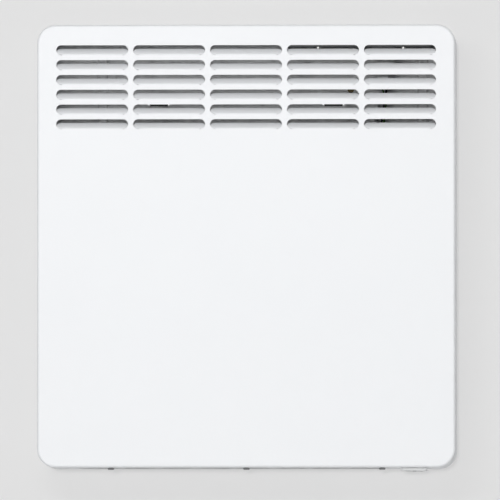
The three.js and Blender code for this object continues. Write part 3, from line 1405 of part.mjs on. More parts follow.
place("front_casing", frontCasing(), WHITE_COAT);
place("back_panel", backPanel(), GALVANISED);
place("intake_grille", intakeGrille(), WHITE_PLASTIC);
const catchShape = geometryOf(casingCatch());
for (const [x, name] of catchPlaces) {
  place(`casing_catch_${name}`, catchShape, GREY_PLASTIC, [x, CATCH_Y, BOTTOM_Z]);
}
const rearScrew = geometryOf(panScrew(REAR_SCREW));
for (const [x, z, name] of rearScrewPlaces) {
  const screw = place(`rear_screw_${name}`, rearScrew, STAINLESS, [x, REAR_Y + FIT_GAP, z]);
  screw.rotation.x = Math.PI / 2;
}

place("bracket_top_rail", bracketTopRail(), GALVANISED);
place("bracket_bottom_rail", bracketBottomRail(), GALVANISED);
place("bracket_centre_plate", bracketCentrePlate(), GALVANISED);
const uprightShape = geometryOf(bracketUpright());
place("bracket_upright_left", uprightShape, GALVANISED, [-UPRIGHT_X, 0, 0]);
place("bracket_upright_right", uprightShape, GALVANISED, [UPRIGHT_X, 0, 0]);

const leverShape = geometryOf(releaseLever());
const pinShape = geometryOf(leverPin());
for (const [side, name] of HOOK_SIDES) {
  const latch = new THREE.Group();
  latch.position.set(hookX(side), LEVER_PIVOT_Y, LEVER_Z);
  heater.add(latch);
  place(`release_lever_${name}`, leverShape, BLACK_PLASTIC, [0, 0, 0], latch);
  place(`lever_ear_outer_${name}`, leverEar(side), GALVANISED, [0, 0, 0], latch);
  place(`lever_ear_inner_${name}`, leverEar(-side), GALVANISED, [0, 0, 0], latch);
  place(`lever_pin_${name}`, pinShape, STAINLESS, [0, 0, 0], latch);
}

place("switch_body", switchBody(), WHITE_PLASTIC);
const rockerMesh = place("switch_rocker", rocker(), WHITE_PLASTIC, [SWITCH_X, SWITCH_Y, ROCKER_PIVOT_Z]);
rockerMesh.rotation.x = rad(-ROCKER_HALF_TILT);

const element = new THREE.Group();
element.position.set(0, ELEMENT_Y, ELEMENT_Z);
heater.add(element);
place("element_fins", elementFins(), ALUMINIUM, [0, 0, 0], element);
place("element_rod", elementRod(), STAINLESS, [0, 0, 0], element);
const supportShape = geometryOf(elementSupport());
const bushShape = ceramicBush();
for (const [x, name] of [
  [ELEMENT_LEFT - SUPPORT_OFFSET, "left"],
  [ELEMENT_RIGHT + SUPPORT_OFFSET, "right"],
]) {
  place(`element_support_${name}`, supportShape, GALVANISED, [x - SUPPORT_SHEET / 2, 0, 0], element);
  place(`ceramic_bush_${name}`, bushShape, CERAMIC, [x, 0, 0], element);
}
place("heat_shield", heatShield(), GALVANISED);
place("thermal_cutout", thermalCutout(), BLACK_PLASTIC, [CUTOUT_X, BACK_FIT_Y, CUTOUT_Z]);

place("bay_divider", bayDivider(), GALVANISED);
const duct = place("wiring_duct", wiringDuct(), BLACK_PLASTIC, [dividerX(DUCT_TOP_Z), 0, DUCT_TOP_Z]);
duct.rotation.y = DUCT_LEAN;

const control = new THREE.Group();
control.position.set(CONTROL_X, CONTROL_Y, CONTROL_TOP_Z);
heater.add(control);
place("control_housing", controlHousing(), GREY_PLASTIC, [0, 0, 0], control);
place("control_fascia", controlFascia(), WHITE_PLASTIC, [0, 0, 0], control);
place("display_window", displayWindow(), DARK_GLASS, [0, 0, 0], control);
place("display_module", displayModule(), LCD_GREY, [0, 0, 0], control);
place("control_board", controlBoard(), BOARD_GREEN, [0, 0, 0], control);
const buttonShape = geometryOf(pushButton());
BUTTON_NAMES.forEach((name, k) =>
  place(`button_${name}`, buttonShape, GREY_PLASTIC, [buttonX(k), 0, 0], control),
);
const housingScrew = geometryOf(panScrew(HOUSING_SCREW));
for (const [x, y] of controlScrewPlaces) {
  const name = `housing_screw_${x < 0 ? "left" : "right"}`;
  place(name, housingScrew, STAINLESS, [x, y, -CONTROL_HEIGHT - FIT_GAP], control);
}

place("cable_gland", cableGland(), BLACK_PLASTIC);
place("gland_nut", glandNut(), BLACK_PLASTIC);
place("mains_terminal", terminalBlock(), WHITE_PLASTIC, [TERMINAL_X, BACK_FIT_Y, TERMINAL_Z]);
place("sensor_holder", sensorHolder(), WHITE_PLASTIC, [SENSOR_X, BACK_FIT_Y, SENSOR_Z]);
place("room_sensor", sensorBead(), BLACK_PLASTIC, [SENSOR_X, BACK_FIT_Y - SENSOR_REACH, SENSOR_Z]);
const earthScrew = place("earth_screw", panScrew(EARTH_SCREW), BRASS, [EARTH_X, BACK_FIT_Y - 0.2, EARTH_Z]);
earthScrew.rotation.x = -Math.PI / 2;

const leadFinish = {
  lead_terminal_switch: [WIRE_BROWN, LEAD_RADIUS, 14],
  lead_switch_board: [WIRE_BLACK, LEAD_RADIUS, 30],
  lead_board_element: [WIRE_BLACK, LEAD_RADIUS, 26],
  lead_sensor: [WIRE_BLACK, SENSOR_LEAD_RADIUS, 28],
  lead_element_cutout: [WIRE_BLUE, LEAD_RADIUS, 20],
  lead_cutout_terminal: [WIRE_BLUE, LEAD_RADIUS, 22],
  lead_earth: [WIRE_GREEN, LEAD_RADIUS, 22],
};
for (const [name, route] of Object.entries(leadRoutes())) {
  const [material, radius, steps] = leadFinish[name];
  place(name, lead(route, radius, steps), material);
}

export default heater;
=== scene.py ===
import json
import math

import bmesh
import bpy
from mathutils import Matrix, Vector


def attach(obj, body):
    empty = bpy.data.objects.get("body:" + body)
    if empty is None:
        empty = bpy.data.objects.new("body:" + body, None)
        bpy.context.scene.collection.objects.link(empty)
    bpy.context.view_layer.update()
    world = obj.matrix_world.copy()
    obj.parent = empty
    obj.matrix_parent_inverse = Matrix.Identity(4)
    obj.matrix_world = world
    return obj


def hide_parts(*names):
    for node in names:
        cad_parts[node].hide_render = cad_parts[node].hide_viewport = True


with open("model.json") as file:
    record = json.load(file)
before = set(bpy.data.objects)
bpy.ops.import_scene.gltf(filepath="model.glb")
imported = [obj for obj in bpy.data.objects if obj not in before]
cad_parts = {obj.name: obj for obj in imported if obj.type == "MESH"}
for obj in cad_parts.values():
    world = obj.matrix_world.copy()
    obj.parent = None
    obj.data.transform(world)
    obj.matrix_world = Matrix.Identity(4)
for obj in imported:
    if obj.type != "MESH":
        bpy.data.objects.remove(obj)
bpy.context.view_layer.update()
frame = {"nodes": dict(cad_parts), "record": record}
MM = 0.001

# ------------------------------------------------------------------ sizes, in millimetres

WIDTH = 426
HEIGHT = 451
CORNER_RADIUS = 19
FRONT_Y = -123
REAR_Y = -22.5
LIP_REAR_Y = -23.6
SHEET = 0.8
FRONT_BEND = 2.4
LIP_WIDTH = 10
CORNER_STEPS = 14
BEND_STEPS = 8
TOP_Z = HEIGHT / 2
BOTTOM_Z = -HEIGHT / 2

LOUVRE_COLUMNS = 5
LOUVRE_ROWS = 6
LOUVRE_PITCH = (78.4, 15.1)
LOUVRE_LENGTH = 73.2
LOUVRE_HEIGHT = 10
LOUVRE_TOP_MARGIN = 20.8
FOLD_RADIUS = 2.4
FOLD_TURN = math.radians(40)
EDGE_TURN = math.radians(64)
FOLD_LENGTH = FOLD_RADIUS * FOLD_TURN
CURL_RADIUS = (LOUVRE_HEIGHT - FOLD_LENGTH) / (EDGE_TURN - FOLD_TURN)
SHEAR_GAP = 0.35
RELIEF_RADIUS = 0.5
RELIEF_STEPS = 4
END_STEPS = 24
HAIR = 1e-4  # keeps the ring after a relief clear of the one before it

TOOTH_SPACING = 10.25
TOOTH_HALF_WIDTH = 1.1
TOOTH_DROP = 1.5
TOOTH_INSET = 0.05
TOOTH_ROW = 4
HOOK_X = 89

ROOF_OPENING = (143, 61, 5)
ROOF_OPENING_AT = (116.3, -80)
INTAKE_OPENING = (316, 58, 6)
INTAKE_OPENING_AT = (-14, -72)
SWITCH_OPENING = (22, 28.2, 1)
SWITCH_OPENING_AT = (170.5, -83)
REAR_SCREW_AT = (206.5, 150)
REAR_SCREW_HOLE = 1.8
CATCH_X = (-138.2, 0, 138.2)
CATCH_Y = -108
STEM_RADIUS = 2.1
FIT_GAP = 0.3

# ------------------------------------------------------------------ meshes


def rounded(width, height, radius, steps, centre=(0, 0)):
    """A rectangle with round corners, anticlockwise."""
    corners = ((1, 1), (-1, 1), (-1, -1), (1, -1))
    outline = []
    for quarter, (sx, sy) in enumerate(corners):
        for k in range(steps + 1):
            angle = (quarter + k / steps) * math.pi / 2
            outline.append(
                (
                    centre[0] + sx * (width / 2 - radius) + radius * math.cos(angle),
                    centre[1] + sy * (height / 2 - radius) + radius * math.sin(angle),
                )
            )
    return outline


def circle(centre, radius, sides):
    turns = [(k + 0.5) / sides * 2 * math.pi for k in range(sides)]
    return [
        (centre[0] + radius * math.cos(a), centre[1] + radius * math.sin(a)) for a in turns
    ]


def add_loft(bm, rings):
    """Adds a closed skin over rings of equal count, with flat ends."""
    made = [[bm.verts.new(Vector(p) * MM) for p in ring] for ring in rings]
    count = len(rings[0])
    for low, high in zip(made, made[1:]):
        for k in range(count):
            n = (k + 1) % count
            bm.faces.new((low[k], low[n], high[n], high[k]))
    bm.faces.new(tuple(reversed(made[0])))
    bm.faces.new(tuple(made[-1]))


def along_y(bm, outline, y):
    """A prism over an outline in (x, z)."""
    add_loft(bm, [[(x, at, z) for x, z in outline] for at in y])


def along_z(bm, outline, z):
    """A prism over an outline in (x, y)."""
    add_loft(bm, [[(x, y, at) for x, y in outline] for at in z])


def piece(name, build, material=None):
    """An object whose mesh build(bm) draws, with its faces turned outwards."""
    bm = bmesh.new()
    build(bm)
    bmesh.ops.recalc_face_normals(bm, faces=bm.faces)
    mesh = bpy.data.meshes.new(name)
    bm.to_mesh(mesh)
    bm.free()
    made = bpy.data.objects.new(name, mesh)
    bpy.context.scene.collection.objects.link(made)
    if material:
        mesh.materials.append(material)
    return made


def carve(target, cutter):
    """Cuts one closed object from another for good."""
    cutting = target.modifiers.new("cut", "BOOLEAN")
    cutting.operation = "DIFFERENCE"
    cutting.solver = "EXACT"
    cutting.object = cutter
    seen = target.evaluated_get(bpy.context.evaluated_depsgraph_get())
    carved = bpy.data.meshes.new_from_object(seen)
    target.modifiers.clear()
    target.data = carved
    bpy.data.objects.remove(cutter)


def absorb(target, other):
    """Joins another object's mesh to the target's, as a loose part."""
    bm = bmesh.new()
    bm.from_mesh(target.data)
    bm.from_mesh(other.data)
    bm.to_mesh(target.data)
    bm.free()
    bpy.data.objects.remove(other)


def smooth(made, degrees=32):
    """Rounds the shading except over sharp edges, and keeps flat faces flat."""
    made.data.polygons.foreach_set("use_smooth", [True] * len(made.data.polygons))
    made.data.set_sharp_from_angle(angle=math.radians(degrees))
    weighted = made.modifiers.new("flat faces", "WEIGHTED_NORMAL")
    weighted.keep_sharp = True


# ------------------------------------------------------------------ shader nodes

EDGE_GAIN = 4


class Link:
    """A socket that Python's operators work on."""

    def __init__(self, finish, socket):
        self.finish = finish
        self.socket = socket

    def calc(self, operation, *values):
        sockets = dict(enumerate(values))
        return self.finish.node("ShaderNodeMath", {"operation": operation}, sockets)["Value"]

    def __add__(self, other):
        return self.calc("ADD", self, other)

    def __radd__(self, other):
        return self.calc("ADD", other, self)

    def __sub__(self, other):
        return self.calc("SUBTRACT", self, other)

    def __rsub__(self, other):
        return self.calc("SUBTRACT", other, self)

    def __mul__(self, other):
        return self.calc("MULTIPLY", self, other)

    def __rmul__(self, other):
        return self.calc("MULTIPLY", other, self)

    def at_most(self, limit):
        return self.calc("MINIMUM", self, limit)


class Made:
    """A node whose outputs are read by name or number."""

    def __init__(self, finish, node):
        self.finish = finish
        self.node = node

    def __getitem__(self, name):
        return Link(self.finish, self.node.outputs[name])


class Finish:
    """A material and its nodes."""

    def __init__(self, name, tree_owner=None):
        self.owner = tree_owner or bpy.data.materials.new(name)
        self.owner.use_nodes = True
        self.tree = self.owner.node_tree
        self.tree.nodes.clear()

    def node(self, kind, settings=None, sockets=None):
        made = self.tree.nodes.new(kind)
        for key, value in (settings or {}).items():
            if key == "stops":
                ramp = made.color_ramp
                while len(ramp.elements) < len(value):
                    ramp.elements.new(0.5)
                for element, (position, color) in zip(ramp.elements, value):
                    element.position = position
                    element.color = (*color, 1)
            else:
                setattr(made, key, value)
        for key, value in (sockets or {}).items():
            socket = made.inputs[key]
            if isinstance(value, Link):
                self.tree.links.new(value.socket, socket)
            elif isinstance(value, tuple) and len(value) == 3 and socket.type == "RGBA":
                socket.default_value = (*value, 1)
            else:
                socket.default_value = value
        return Made(self, made)

    def place(self, scale=(1, 1, 1)):
        """The point on the piece, in its own metres."""
        here = self.node("ShaderNodeTexCoord")["Object"]
        return self.node("ShaderNodeMapping", None, {"Vector": here, "Scale": scale})["Vector"]

    def noise(self, scale, detail=2, at=None):
        sockets = {"Scale": scale, "Detail": detail, "Vector": at or self.place()}
        return self.node("ShaderNodeTexNoise", None, sockets)["Fac"]

    def cells(self, scale):
        sockets = {"Scale": scale, "Vector": self.place()}
        return self.node("ShaderNodeTexVoronoi", None, sockets)["Distance"]

    def ramp(self, value, stops):
        return self.node("ShaderNodeValToRGB", {"stops": stops}, {"Fac": value})["Color"]

    def blend(self, amount, first, second):
        """A colour between two; 0, 6 and 7 are the Mix node's colour sockets, 2 its output."""
        sockets = {0: amount, 6: first, 7: second}
        return self.node("ShaderNodeMix", {"data_type": "RGBA"}, sockets)[2]

    def worn_edges(self, radius):
        """0 on open surface, rising towards 1 on an edge; the radius is in millimetres."""
        eased = self.node("ShaderNodeBevel", {"samples": 4}, {"Radius": radius * MM})["Normal"]
        plain = self.node("ShaderNodeNewGeometry")["Normal"]
        agree = self.node(
            "ShaderNodeVectorMath", {"operation": "DOT_PRODUCT"}, {0: eased, 1: plain}
        )["Value"]
        return (EDGE_GAIN * (1 - agree)).at_most(1)

    def bump(self, height, strength, distance):
        sockets = {"Height": height, "Strength": strength, "Distance": distance}
        return self.node("ShaderNodeBump", None, sockets)["Normal"]

    def surface(self, **sockets):
        named = {key.replace("_", " "): value for key, value in sockets.items()}
        shader = self.node("ShaderNodeBsdfPrincipled", None, named)["BSDF"]
        self.node("ShaderNodeOutputMaterial", None, {"Surface": shader})
        return self.owner


def powder_coat():
    coat = Finish("white_powder_coat")
    peel = coat.noise(1100, 2)
    drift = coat.noise(9, 2)
    thin = coat.worn_edges(0.6)
    tone = coat.blend(drift, (0.885, 0.9, 0.92), (0.905, 0.918, 0.934))
    return coat.surface(
        Base_Color=coat.blend(0.5 * thin, tone, (0.84, 0.85, 0.87)),
        Roughness=0.4 + 0.1 * coat.noise(420, 2) - 0.08 * thin,
        Normal=coat.bump(peel, 0.16, 0.0004),
        Specular_IOR_Level=0.42,
    )


def galvanised_sheet():
    zinc = Finish("galvanised_sheet")
    spangle = zinc.cells(120)
    grain = zinc.noise(260, 3)
    bare = zinc.worn_edges(0.5)
    mix = 0.55 * spangle + 0.45 * grain - 0.3 * bare
    tone = zinc.ramp(mix, [(0.2, (0.72, 0.725, 0.73)), (0.75, (0.83, 0.835, 0.84))])
    return zinc.surface(
        Base_Color=tone,
        Metallic=0.08,
        Roughness=0.42 + 0.16 * grain - 0.12 * bare,
        Normal=zinc.bump(grain, 0.12, 0.0003),
    )


def drawn_metal(name, low, high, roughness, scale):
    metal = Finish(name)
    lines = metal.noise(1, 3, at=metal.place(scale))
    bright = metal.worn_edges(0.3)
    return metal.surface(
        Base_Color=metal.blend(bright, metal.ramp(lines, [(0.3, low), (0.7, high)]), high),
        Metallic=0.95,
        Roughness=roughness + 0.14 * lines - 0.1 * bright,
        Normal=metal.bump(lines, 0.15, 0.0002),
    )


def moulded(name, color, roughness, gloss=0.45):
    """Spark-textured plastic, polished and a little paler where hands and tools rub its edges."""
    plastic = Finish(name)
    texture = plastic.noise(1800, 2)
    drift = plastic.noise(30, 2)
    rubbed = plastic.worn_edges(0.5)
    darker = tuple(c * 0.9 for c in color)
    paler = tuple(c + (1 - c) * 0.07 for c in color)
    return plastic.surface(
        Base_Color=plastic.blend(rubbed, plastic.blend(drift, darker, color), paler),
        Roughness=roughness + 0.1 * texture - 0.16 * rubbed,
        Normal=plastic.bump(texture, 0.25, 0.0003),
        Specular_IOR_Level=gloss,
    )


def fired_ceramic():
    body = Finish("fired_ceramic")
    pores = body.noise(900, 4)
    return body.surface(
        Base_Color=body.ramp(pores, [(0.3, (0.7, 0.66, 0.58)), (0.6, (0.86, 0.83, 0.76))]),
        Roughness=0.62 + 0.15 * pores,
        Normal=body.bump(pores, 0.3, 0.0004),
    )


def circuit_board():
    board = Finish("circuit_board")
    tracks = board.node(
        "ShaderNodeTexBrick",
        {"offset": 0.37, "offset_frequency": 2},
        {
            "Vector": board.place(),
            "Scale": 60.0,
            "Mortar Size": 0.045,
            "Brick Width": 0.42,
            "Row Height": 0.14,
            "Color1": (0.02, 0.12, 0.06),
            "Color2": (0.025, 0.15, 0.075),
            "Mortar": (0.07, 0.3, 0.15),
        },
    )
    return board.surface(
        Base_Color=tracks["Color"],
        Roughness=0.34 + 0.1 * board.noise(300),
        Normal=board.bump(tracks["Fac"], 0.2, 0.0001),
    )


def display_glass():
    glass = Finish("display_window")
    haze = glass.noise(60, 2)
    return glass.surface(
        Base_Color=glass.blend(haze, (0.012, 0.014, 0.016), (0.018, 0.02, 0.024)),
        Roughness=0.06 + 0.05 * haze,
        Alpha=0.3,
        Coat_Weight=0.5,
    )


def display_cell():
    cell = Finish("display_cell")
    grid = cell.node(
        "ShaderNodeTexBrick",
        {"offset": 0.0},
        {
            "Vector": cell.place(),
            "Scale": 1200.0,
            "Mortar Size": 0.03,
            "Brick Width": 0.5,
            "Row Height": 0.5,
            "Color1": (0.5, 0.56, 0.5),
            "Color2": (0.52, 0.58, 0.52),
            "Mortar": (0.46, 0.52, 0.46),
        },
    )
    return cell.surface(Base_Color=grid["Color"], Roughness=0.3 + 0.1 * cell.noise(400))


def insulation(name, color):
    skin = Finish(name)
    ripple = skin.noise(700, 2)
    return skin.surface(
        Base_Color=skin.blend(ripple, tuple(c * 0.8 for c in color), color),
        Roughness=0.42 + 0.12 * ripple,
        Normal=skin.bump(ripple, 0.2, 0.0003),
    )


FINISHES = {
    "white_coat": powder_coat(),
    "galvanised": galvanised_sheet(),
    "aluminium": drawn_metal(
        "fin_aluminium", (0.7, 0.71, 0.72), (0.8, 0.81, 0.82), 0.3, (900, 900, 40)
    ),
    "stainless": drawn_metal(
        "drawn_stainless", (0.36, 0.36, 0.35), (0.46, 0.46, 0.45), 0.42, (60, 900, 900)
    ),
    "white_plastic": moulded("white_moulding", (0.82, 0.83, 0.83), 0.46),
    "grey_plastic": moulded("dark_grey_moulding", (0.15, 0.155, 0.16), 0.55),
    "black_plastic": moulded("black_moulding", (0.016, 0.016, 0.018), 0.66, gloss=0.3),
    "ceramic": fired_ceramic(),
    "board": circuit_board(),
    "display_glass": display_glass(),
    "display_cell": display_cell(),
    # Brass coloured far darker than brass's own colour, so the earth screw shows as a dark mark
    # inside the casing.
    "brass": drawn_metal("darkened_brass", (0.1, 0.08, 0.05), (0.2, 0.16, 0.09), 0.5, (400,) * 3),
    "lead_brown": insulation("brown_insulation", (0.17, 0.075, 0.04)),
    "lead_black": insulation("black_insulation", (0.02, 0.02, 0.022)),
    "lead_blue": insulation("blue_insulation", (0.04, 0.13, 0.4)),
    "lead_green": insulation("green_insulation", (0.1, 0.26, 0.05)),
}
slot_of = {s["node"]: s["material_slot"] for s in frame["record"]["subparts"]}
for node, cad in frame["nodes"].items():
    cad.data.materials.clear()
    cad.data.materials.append(FINISHES[slot_of[node]])

# ------------------------------------------------------------------ louvred casing


def louvre_places():
    for column in range(LOUVRE_COLUMNS):
        x = (column - (LOUVRE_COLUMNS - 1) / 2) * LOUVRE_PITCH[0]
        for row in range(LOUVRE_ROWS):
            yield x, TOP_Z - LOUVRE_TOP_MARGIN - row * LOUVRE_PITCH[1] - LOUVRE_HEIGHT


END_RADIUS = LOUVRE_HEIGHT / 2
STRAIGHT = LOUVRE_LENGTH / 2 - END_RADIUS


def slot_outline(x, bottom):
    """Round ends, and a small relief where each shear line stops at the lower edge."""
    right = []
    for k in range(2 * RELIEF_STEPS + 1):
        angle = math.pi * (1 + k / (2 * RELIEF_STEPS))
        right.append(
            (STRAIGHT + RELIEF_RADIUS * math.cos(angle), RELIEF_RADIUS * math.sin(angle))
        )
    start = math.asin(RELIEF_RADIUS / END_RADIUS)
    for k in range(END_STEPS + 1):
        angle = -math.pi / 2 + start + (math.pi - start) * k / END_STEPS
        right.append(
            (STRAIGHT + END_RADIUS * math.cos(angle), END_RADIUS * (1 + math.sin(angle)))
        )
    left = [(-px, pz) for px, pz in reversed(right)]
    return [(x + px, bottom + pz) for px, pz in right + left]


def tongue_at(along):
    """How far the tongue has turned inwards at a distance up it, and its depth and rise."""
    fold = min(along, FOLD_LENGTH) / FOLD_RADIUS
    turn = fold + max(along - FOLD_LENGTH, 0) / CURL_RADIUS
    depth = FOLD_RADIUS * (1 - math.cos(fold)) + CURL_RADIUS * (math.cos(fold) - math.cos(turn))
    rise = FOLD_RADIUS * math.sin(fold) + CURL_RADIUS * (math.sin(turn) - math.sin(fold))
    return turn, depth, rise


def scoop_stations():
    """Distance up the flat tongue and half its width there, from the root to the free edge."""
    stations = [(0, STRAIGHT - RELIEF_RADIUS)]
    for k in range(1, RELIEF_STEPS + 1):
        angle = k / RELIEF_STEPS * math.pi / 2
        reach = RELIEF_RADIUS * math.cos(angle)
        stations.append((RELIEF_RADIUS * math.sin(angle), STRAIGHT - reach))
    first = math.acos(1 - RELIEF_RADIUS / END_RADIUS)
    for k in range(END_STEPS + 1):
        angle = first + (math.pi - first) * k / END_STEPS
        along = END_RADIUS * (1 - math.cos(angle))
        half = STRAIGHT + END_RADIUS * math.sin(angle) - SHEAR_GAP
        stations.append((along + HAIR, half))
    return stations


def scoops(bm):
    stations = scoop_stations()
    for x, bottom in louvre_places():
        rings = []
        for along, half in stations:
            turn, depth, rise = tongue_at(along)
            yf, zf = FRONT_Y + depth, bottom + rise
            yb, zb = yf + SHEET * math.cos(turn), zf - SHEET * math.sin(turn)
            rings.append(
                [(x + half, yb, zb), (x + half, yf, zf), (x - half, yf, zf), (x - half, yb, zb)]
            )
        add_loft(bm, rings)


def release_teeth(bm):
    lower = TOP_Z - LOUVRE_TOP_MARGIN - TOOTH_ROW * LOUVRE_PITCH[1]
    root = lower + FIT_GAP
    for hook in (-HOOK_X, HOOK_X):
        for spacing in (-TOOTH_SPACING, TOOTH_SPACING):
            x = hook + spacing
            tip = (x, lower - TOOTH_DROP)
            tooth = [(x - TOOTH_HALF_WIDTH, root), tip, (x + TOOTH_HALF_WIDTH, root)]
            along_y(bm, tooth, (FRONT_Y + TOOTH_INSET, FRONT_Y + SHEET - TOOTH_INSET))


def casing_skin(inset, rear):
    bend = FRONT_BEND - inset
    rings = []
    for k in range(BEND_STEPS + 1):
        angle = k / BEND_STEPS * math.pi / 2
        drawn = inset + bend * (1 - math.sin(angle))
        y = FRONT_Y + inset + bend * (1 - math.cos(angle))
        rings.append((drawn, y))
    rings.append((inset, rear))
    return [
        [
            (x, y, z)
            for x, z in rounded(WIDTH - 2 * d, HEIGHT - 2 * d, CORNER_RADIUS - d, CORNER_STEPS)
        ]
        for d, y in rings
    ]


def casing_holes(bm):
    for x, bottom in louvre_places():
        along_y(bm, slot_outline(x, bottom), (FRONT_Y - 1, FRONT_Y + SHEET + 1))
    roof = (TOP_Z - SHEET - 1, TOP_Z + 1)
    floor = (BOTTOM_Z - 1, BOTTOM_Z + SHEET + 1)
    along_z(bm, rounded(*ROOF_OPENING, 6, ROOF_OPENING_AT), roof)
    along_z(bm, rounded(*INTAKE_OPENING, 6, INTAKE_OPENING_AT), floor)
    along_z(bm, rounded(*SWITCH_OPENING, 3, SWITCH_OPENING_AT), floor)
    for x in CATCH_X:
        along_z(bm, circle((x, CATCH_Y), STEM_RADIUS + FIT_GAP, 24), floor)


def lip_holes(bm):
    reach, rise = REAR_SCREW_AT
    for x in (-reach, reach):
        for z in (-rise, rise):
            along_y(bm, circle((x, z), REAR_SCREW_HOLE, 20), (LIP_REAR_Y - 3, REAR_Y))


def rear_lip(bm):
    inset = SHEET / 2
    along_y(
        bm,
        rounded(WIDTH - 2 * inset, HEIGHT - 2 * inset, CORNER_RADIUS - inset, CORNER_STEPS),
        (LIP_REAR_Y - SHEET, LIP_REAR_Y),
    )


def lip_opening(bm):
    along_y(
        bm,
        rounded(WIDTH - 2 * LIP_WIDTH, HEIGHT - 2 * LIP_WIDTH, CORNER_RADIUS - LIP_WIDTH, 8),
        (LIP_REAR_Y - 2, LIP_REAR_Y + 1),
    )


casing = piece("louvred_casing", lambda bm: add_loft(bm, casing_skin(0, LIP_REAR_Y)))
carve(casing, piece("inside", lambda bm: add_loft(bm, casing_skin(SHEET, LIP_REAR_Y + 2))))
carve(casing, piece("holes", casing_holes))
lip = piece("lip", rear_lip)
carve(lip, piece("opening", lip_opening))
carve(lip, piece("screw_holes", lip_holes))
absorb(casing, lip)
absorb(casing, piece("scoops", scoops))
absorb(casing, piece("teeth", release_teeth))
casing.data.materials.clear()
casing.data.materials.append(FINISHES["white_coat"])
smooth(casing)
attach(casing, "heater")
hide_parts("front_casing")

# ------------------------------------------------------------------ control panel and switch

KEY_X = {"menu": 124.3, "minus": 142.3, "plus": 160.3, "confirm": 178.3}
CONTROL_Y = -80
KEY_FOOT_Z = 219.2
COLLAR_TOP_Z = 222.0
KEY_TOP_Z = 226.3
KEY_SIZE = (13, 10)
KEY_CORNER = 2
KEY_STEM_RADIUS = 2.6
KEY_DISH = 0.3
# How far in from the key's side, and how high against its top, from the edge to the dish.
KEY_PROFILE = (
    (0, -0.5),
    (0.08, -0.25),
    (0.25, -0.08),
    (0.5, 0),
    (1.0, 0),
    (1.6, -0.12),
    (2.6, -KEY_DISH),
)
COLLAR_REACH = 1.3
COLLAR_HEIGHT = 1
COLLAR_LAP = 0.5
PRINT_RISE = 0.14
PRINT_SINK = 0.05
PRINT_WIDTH = 0.9


def bar(start, end):
    """The outline of a straight stroke with blunt ends."""
    along = (Vector(end) - Vector(start)).normalized() * PRINT_WIDTH / 2
    across = Vector((-along.y, along.x))
    a, b = Vector(start), Vector(end)
    corners = (a - along - across, b + along - across, b + along + across, a - along + across)
    return [tuple(corner) for corner in corners]


KEY_STROKES = {
    "menu": [((-2.4, dy), (2.4, dy)) for dy in (-1.9, 0, 1.9)],
    "minus": [((-2.2, 0), (2.2, 0))],
    "plus": [((-2.2, 0), (2.2, 0)), ((0, 0.9), (0, 2.2)), ((0, -0.9), (0, -2.2))],
    "confirm": [((-2.3, 0.1), (-0.7, -1.6)), ((0.2, -1.3), (2.5, 1.7))],
}


def key_ring(x, inset, z):
    width, depth = (size - 2 * inset for size in KEY_SIZE)
    radius = max(KEY_CORNER - inset, 0.3)
    return [(px, py, z) for px, py in rounded(width, depth, radius, 6, (x, CONTROL_Y))]


def press_key(x):
    """A dished key with eased edges, its collar under the fascia, and its stem."""

    def draw(bm):
        cap_foot = COLLAR_TOP_Z - COLLAR_LAP
        profile = [(inset, KEY_TOP_Z + height) for inset, height in KEY_PROFILE]
        add_loft(bm, [key_ring(x, inset, z) for inset, z in [(0, cap_foot)] + profile])
        collar = (COLLAR_TOP_Z - COLLAR_HEIGHT, COLLAR_TOP_Z)
        add_loft(bm, [key_ring(x, -COLLAR_REACH, z) for z in collar])
        along_z(bm, circle((x, CONTROL_Y), KEY_STEM_RADIUS, 24), (KEY_FOOT_Z, cap_foot))

    return draw


def key_print(name, x):
    floor_z = KEY_TOP_Z - KEY_DISH

    def draw(bm):
        for start, end in KEY_STROKES[name]:
            stroke = [(x + px, CONTROL_Y + py) for px, py in bar(start, end)]
            along_z(bm, stroke, (floor_z - PRINT_SINK, floor_z + PRINT_RISE))

    return draw


for name, x in KEY_X.items():
    key_cap = piece(f"key_{name}", press_key(x), FINISHES["grey_plastic"])
    smooth(key_cap, 40)
    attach(key_cap, f"button_{name}")
    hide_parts(f"button_{name}")
    mark = piece(f"key_{name}_mark", key_print(name, x), FINISHES["white_plastic"])
    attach(mark, f"button_{name}")

CELL_TOP_Z = 223.0
DIGIT_SIZE = (5.6, 10.4)
DIGIT_STROKE = 1.1
DIGIT_RISE = 0.12
SEGMENT_GAP = 0.25
SEGMENTS = {
    "a": ((0, 2), (1, 2)),
    "b": ((1, 2), (1, 1)),
    "c": ((1, 1), (1, 0)),
    "d": ((0, 0), (1, 0)),
    "e": ((0, 1), (0, 0)),
    "f": ((0, 2), (0, 1)),
    "g": ((0, 1), (1, 1)),
}
LIT = {"2": "abged", "1": "bc", "0": "abcdef"}
READOUT = [("2", 65.2), ("1", 73.6), ("0", 83.4)]
POINT_X = 81.2
POINT_RISE = 0.2
POINT_RADIUS = 0.7
DEGREE_RING = ((93.0, -76.2), 1.5, 0.8)
ROCKER_RING = ((0, 5.8), 2.0, 1.25)
RING_SIDES = 24


def add_ring(bm, centre, outer, inner, z):
    """A flat ring drawn as short blocks side by side."""
    outside, inside = circle(centre, outer, RING_SIDES), circle(centre, inner, RING_SIDES)
    for k in range(RING_SIDES):
        n = (k + 1) % RING_SIDES
        along_z(bm, [inside[k], outside[k], outside[n], inside[n]], z)


def segment(start, end, origin):
    """One pointed stroke of a digit, a small gap short of its two corners."""
    corner = [
        Vector((origin[0] + k[0] * DIGIT_SIZE[0], origin[1] + k[1] * DIGIT_SIZE[1] / 2))
        for k in (start, end)
    ]
    way = (corner[1] - corner[0]).normalized()
    side = Vector((-way.y, way.x)) * DIGIT_STROKE / 2
    a, b = corner[0] + way * SEGMENT_GAP, corner[1] - way * SEGMENT_GAP
    ease = way * DIGIT_STROKE / 2
    outline = (a, a + ease - side, b - ease - side, b, b - ease + side, a + ease + side)
    return [tuple(p) for p in outline]


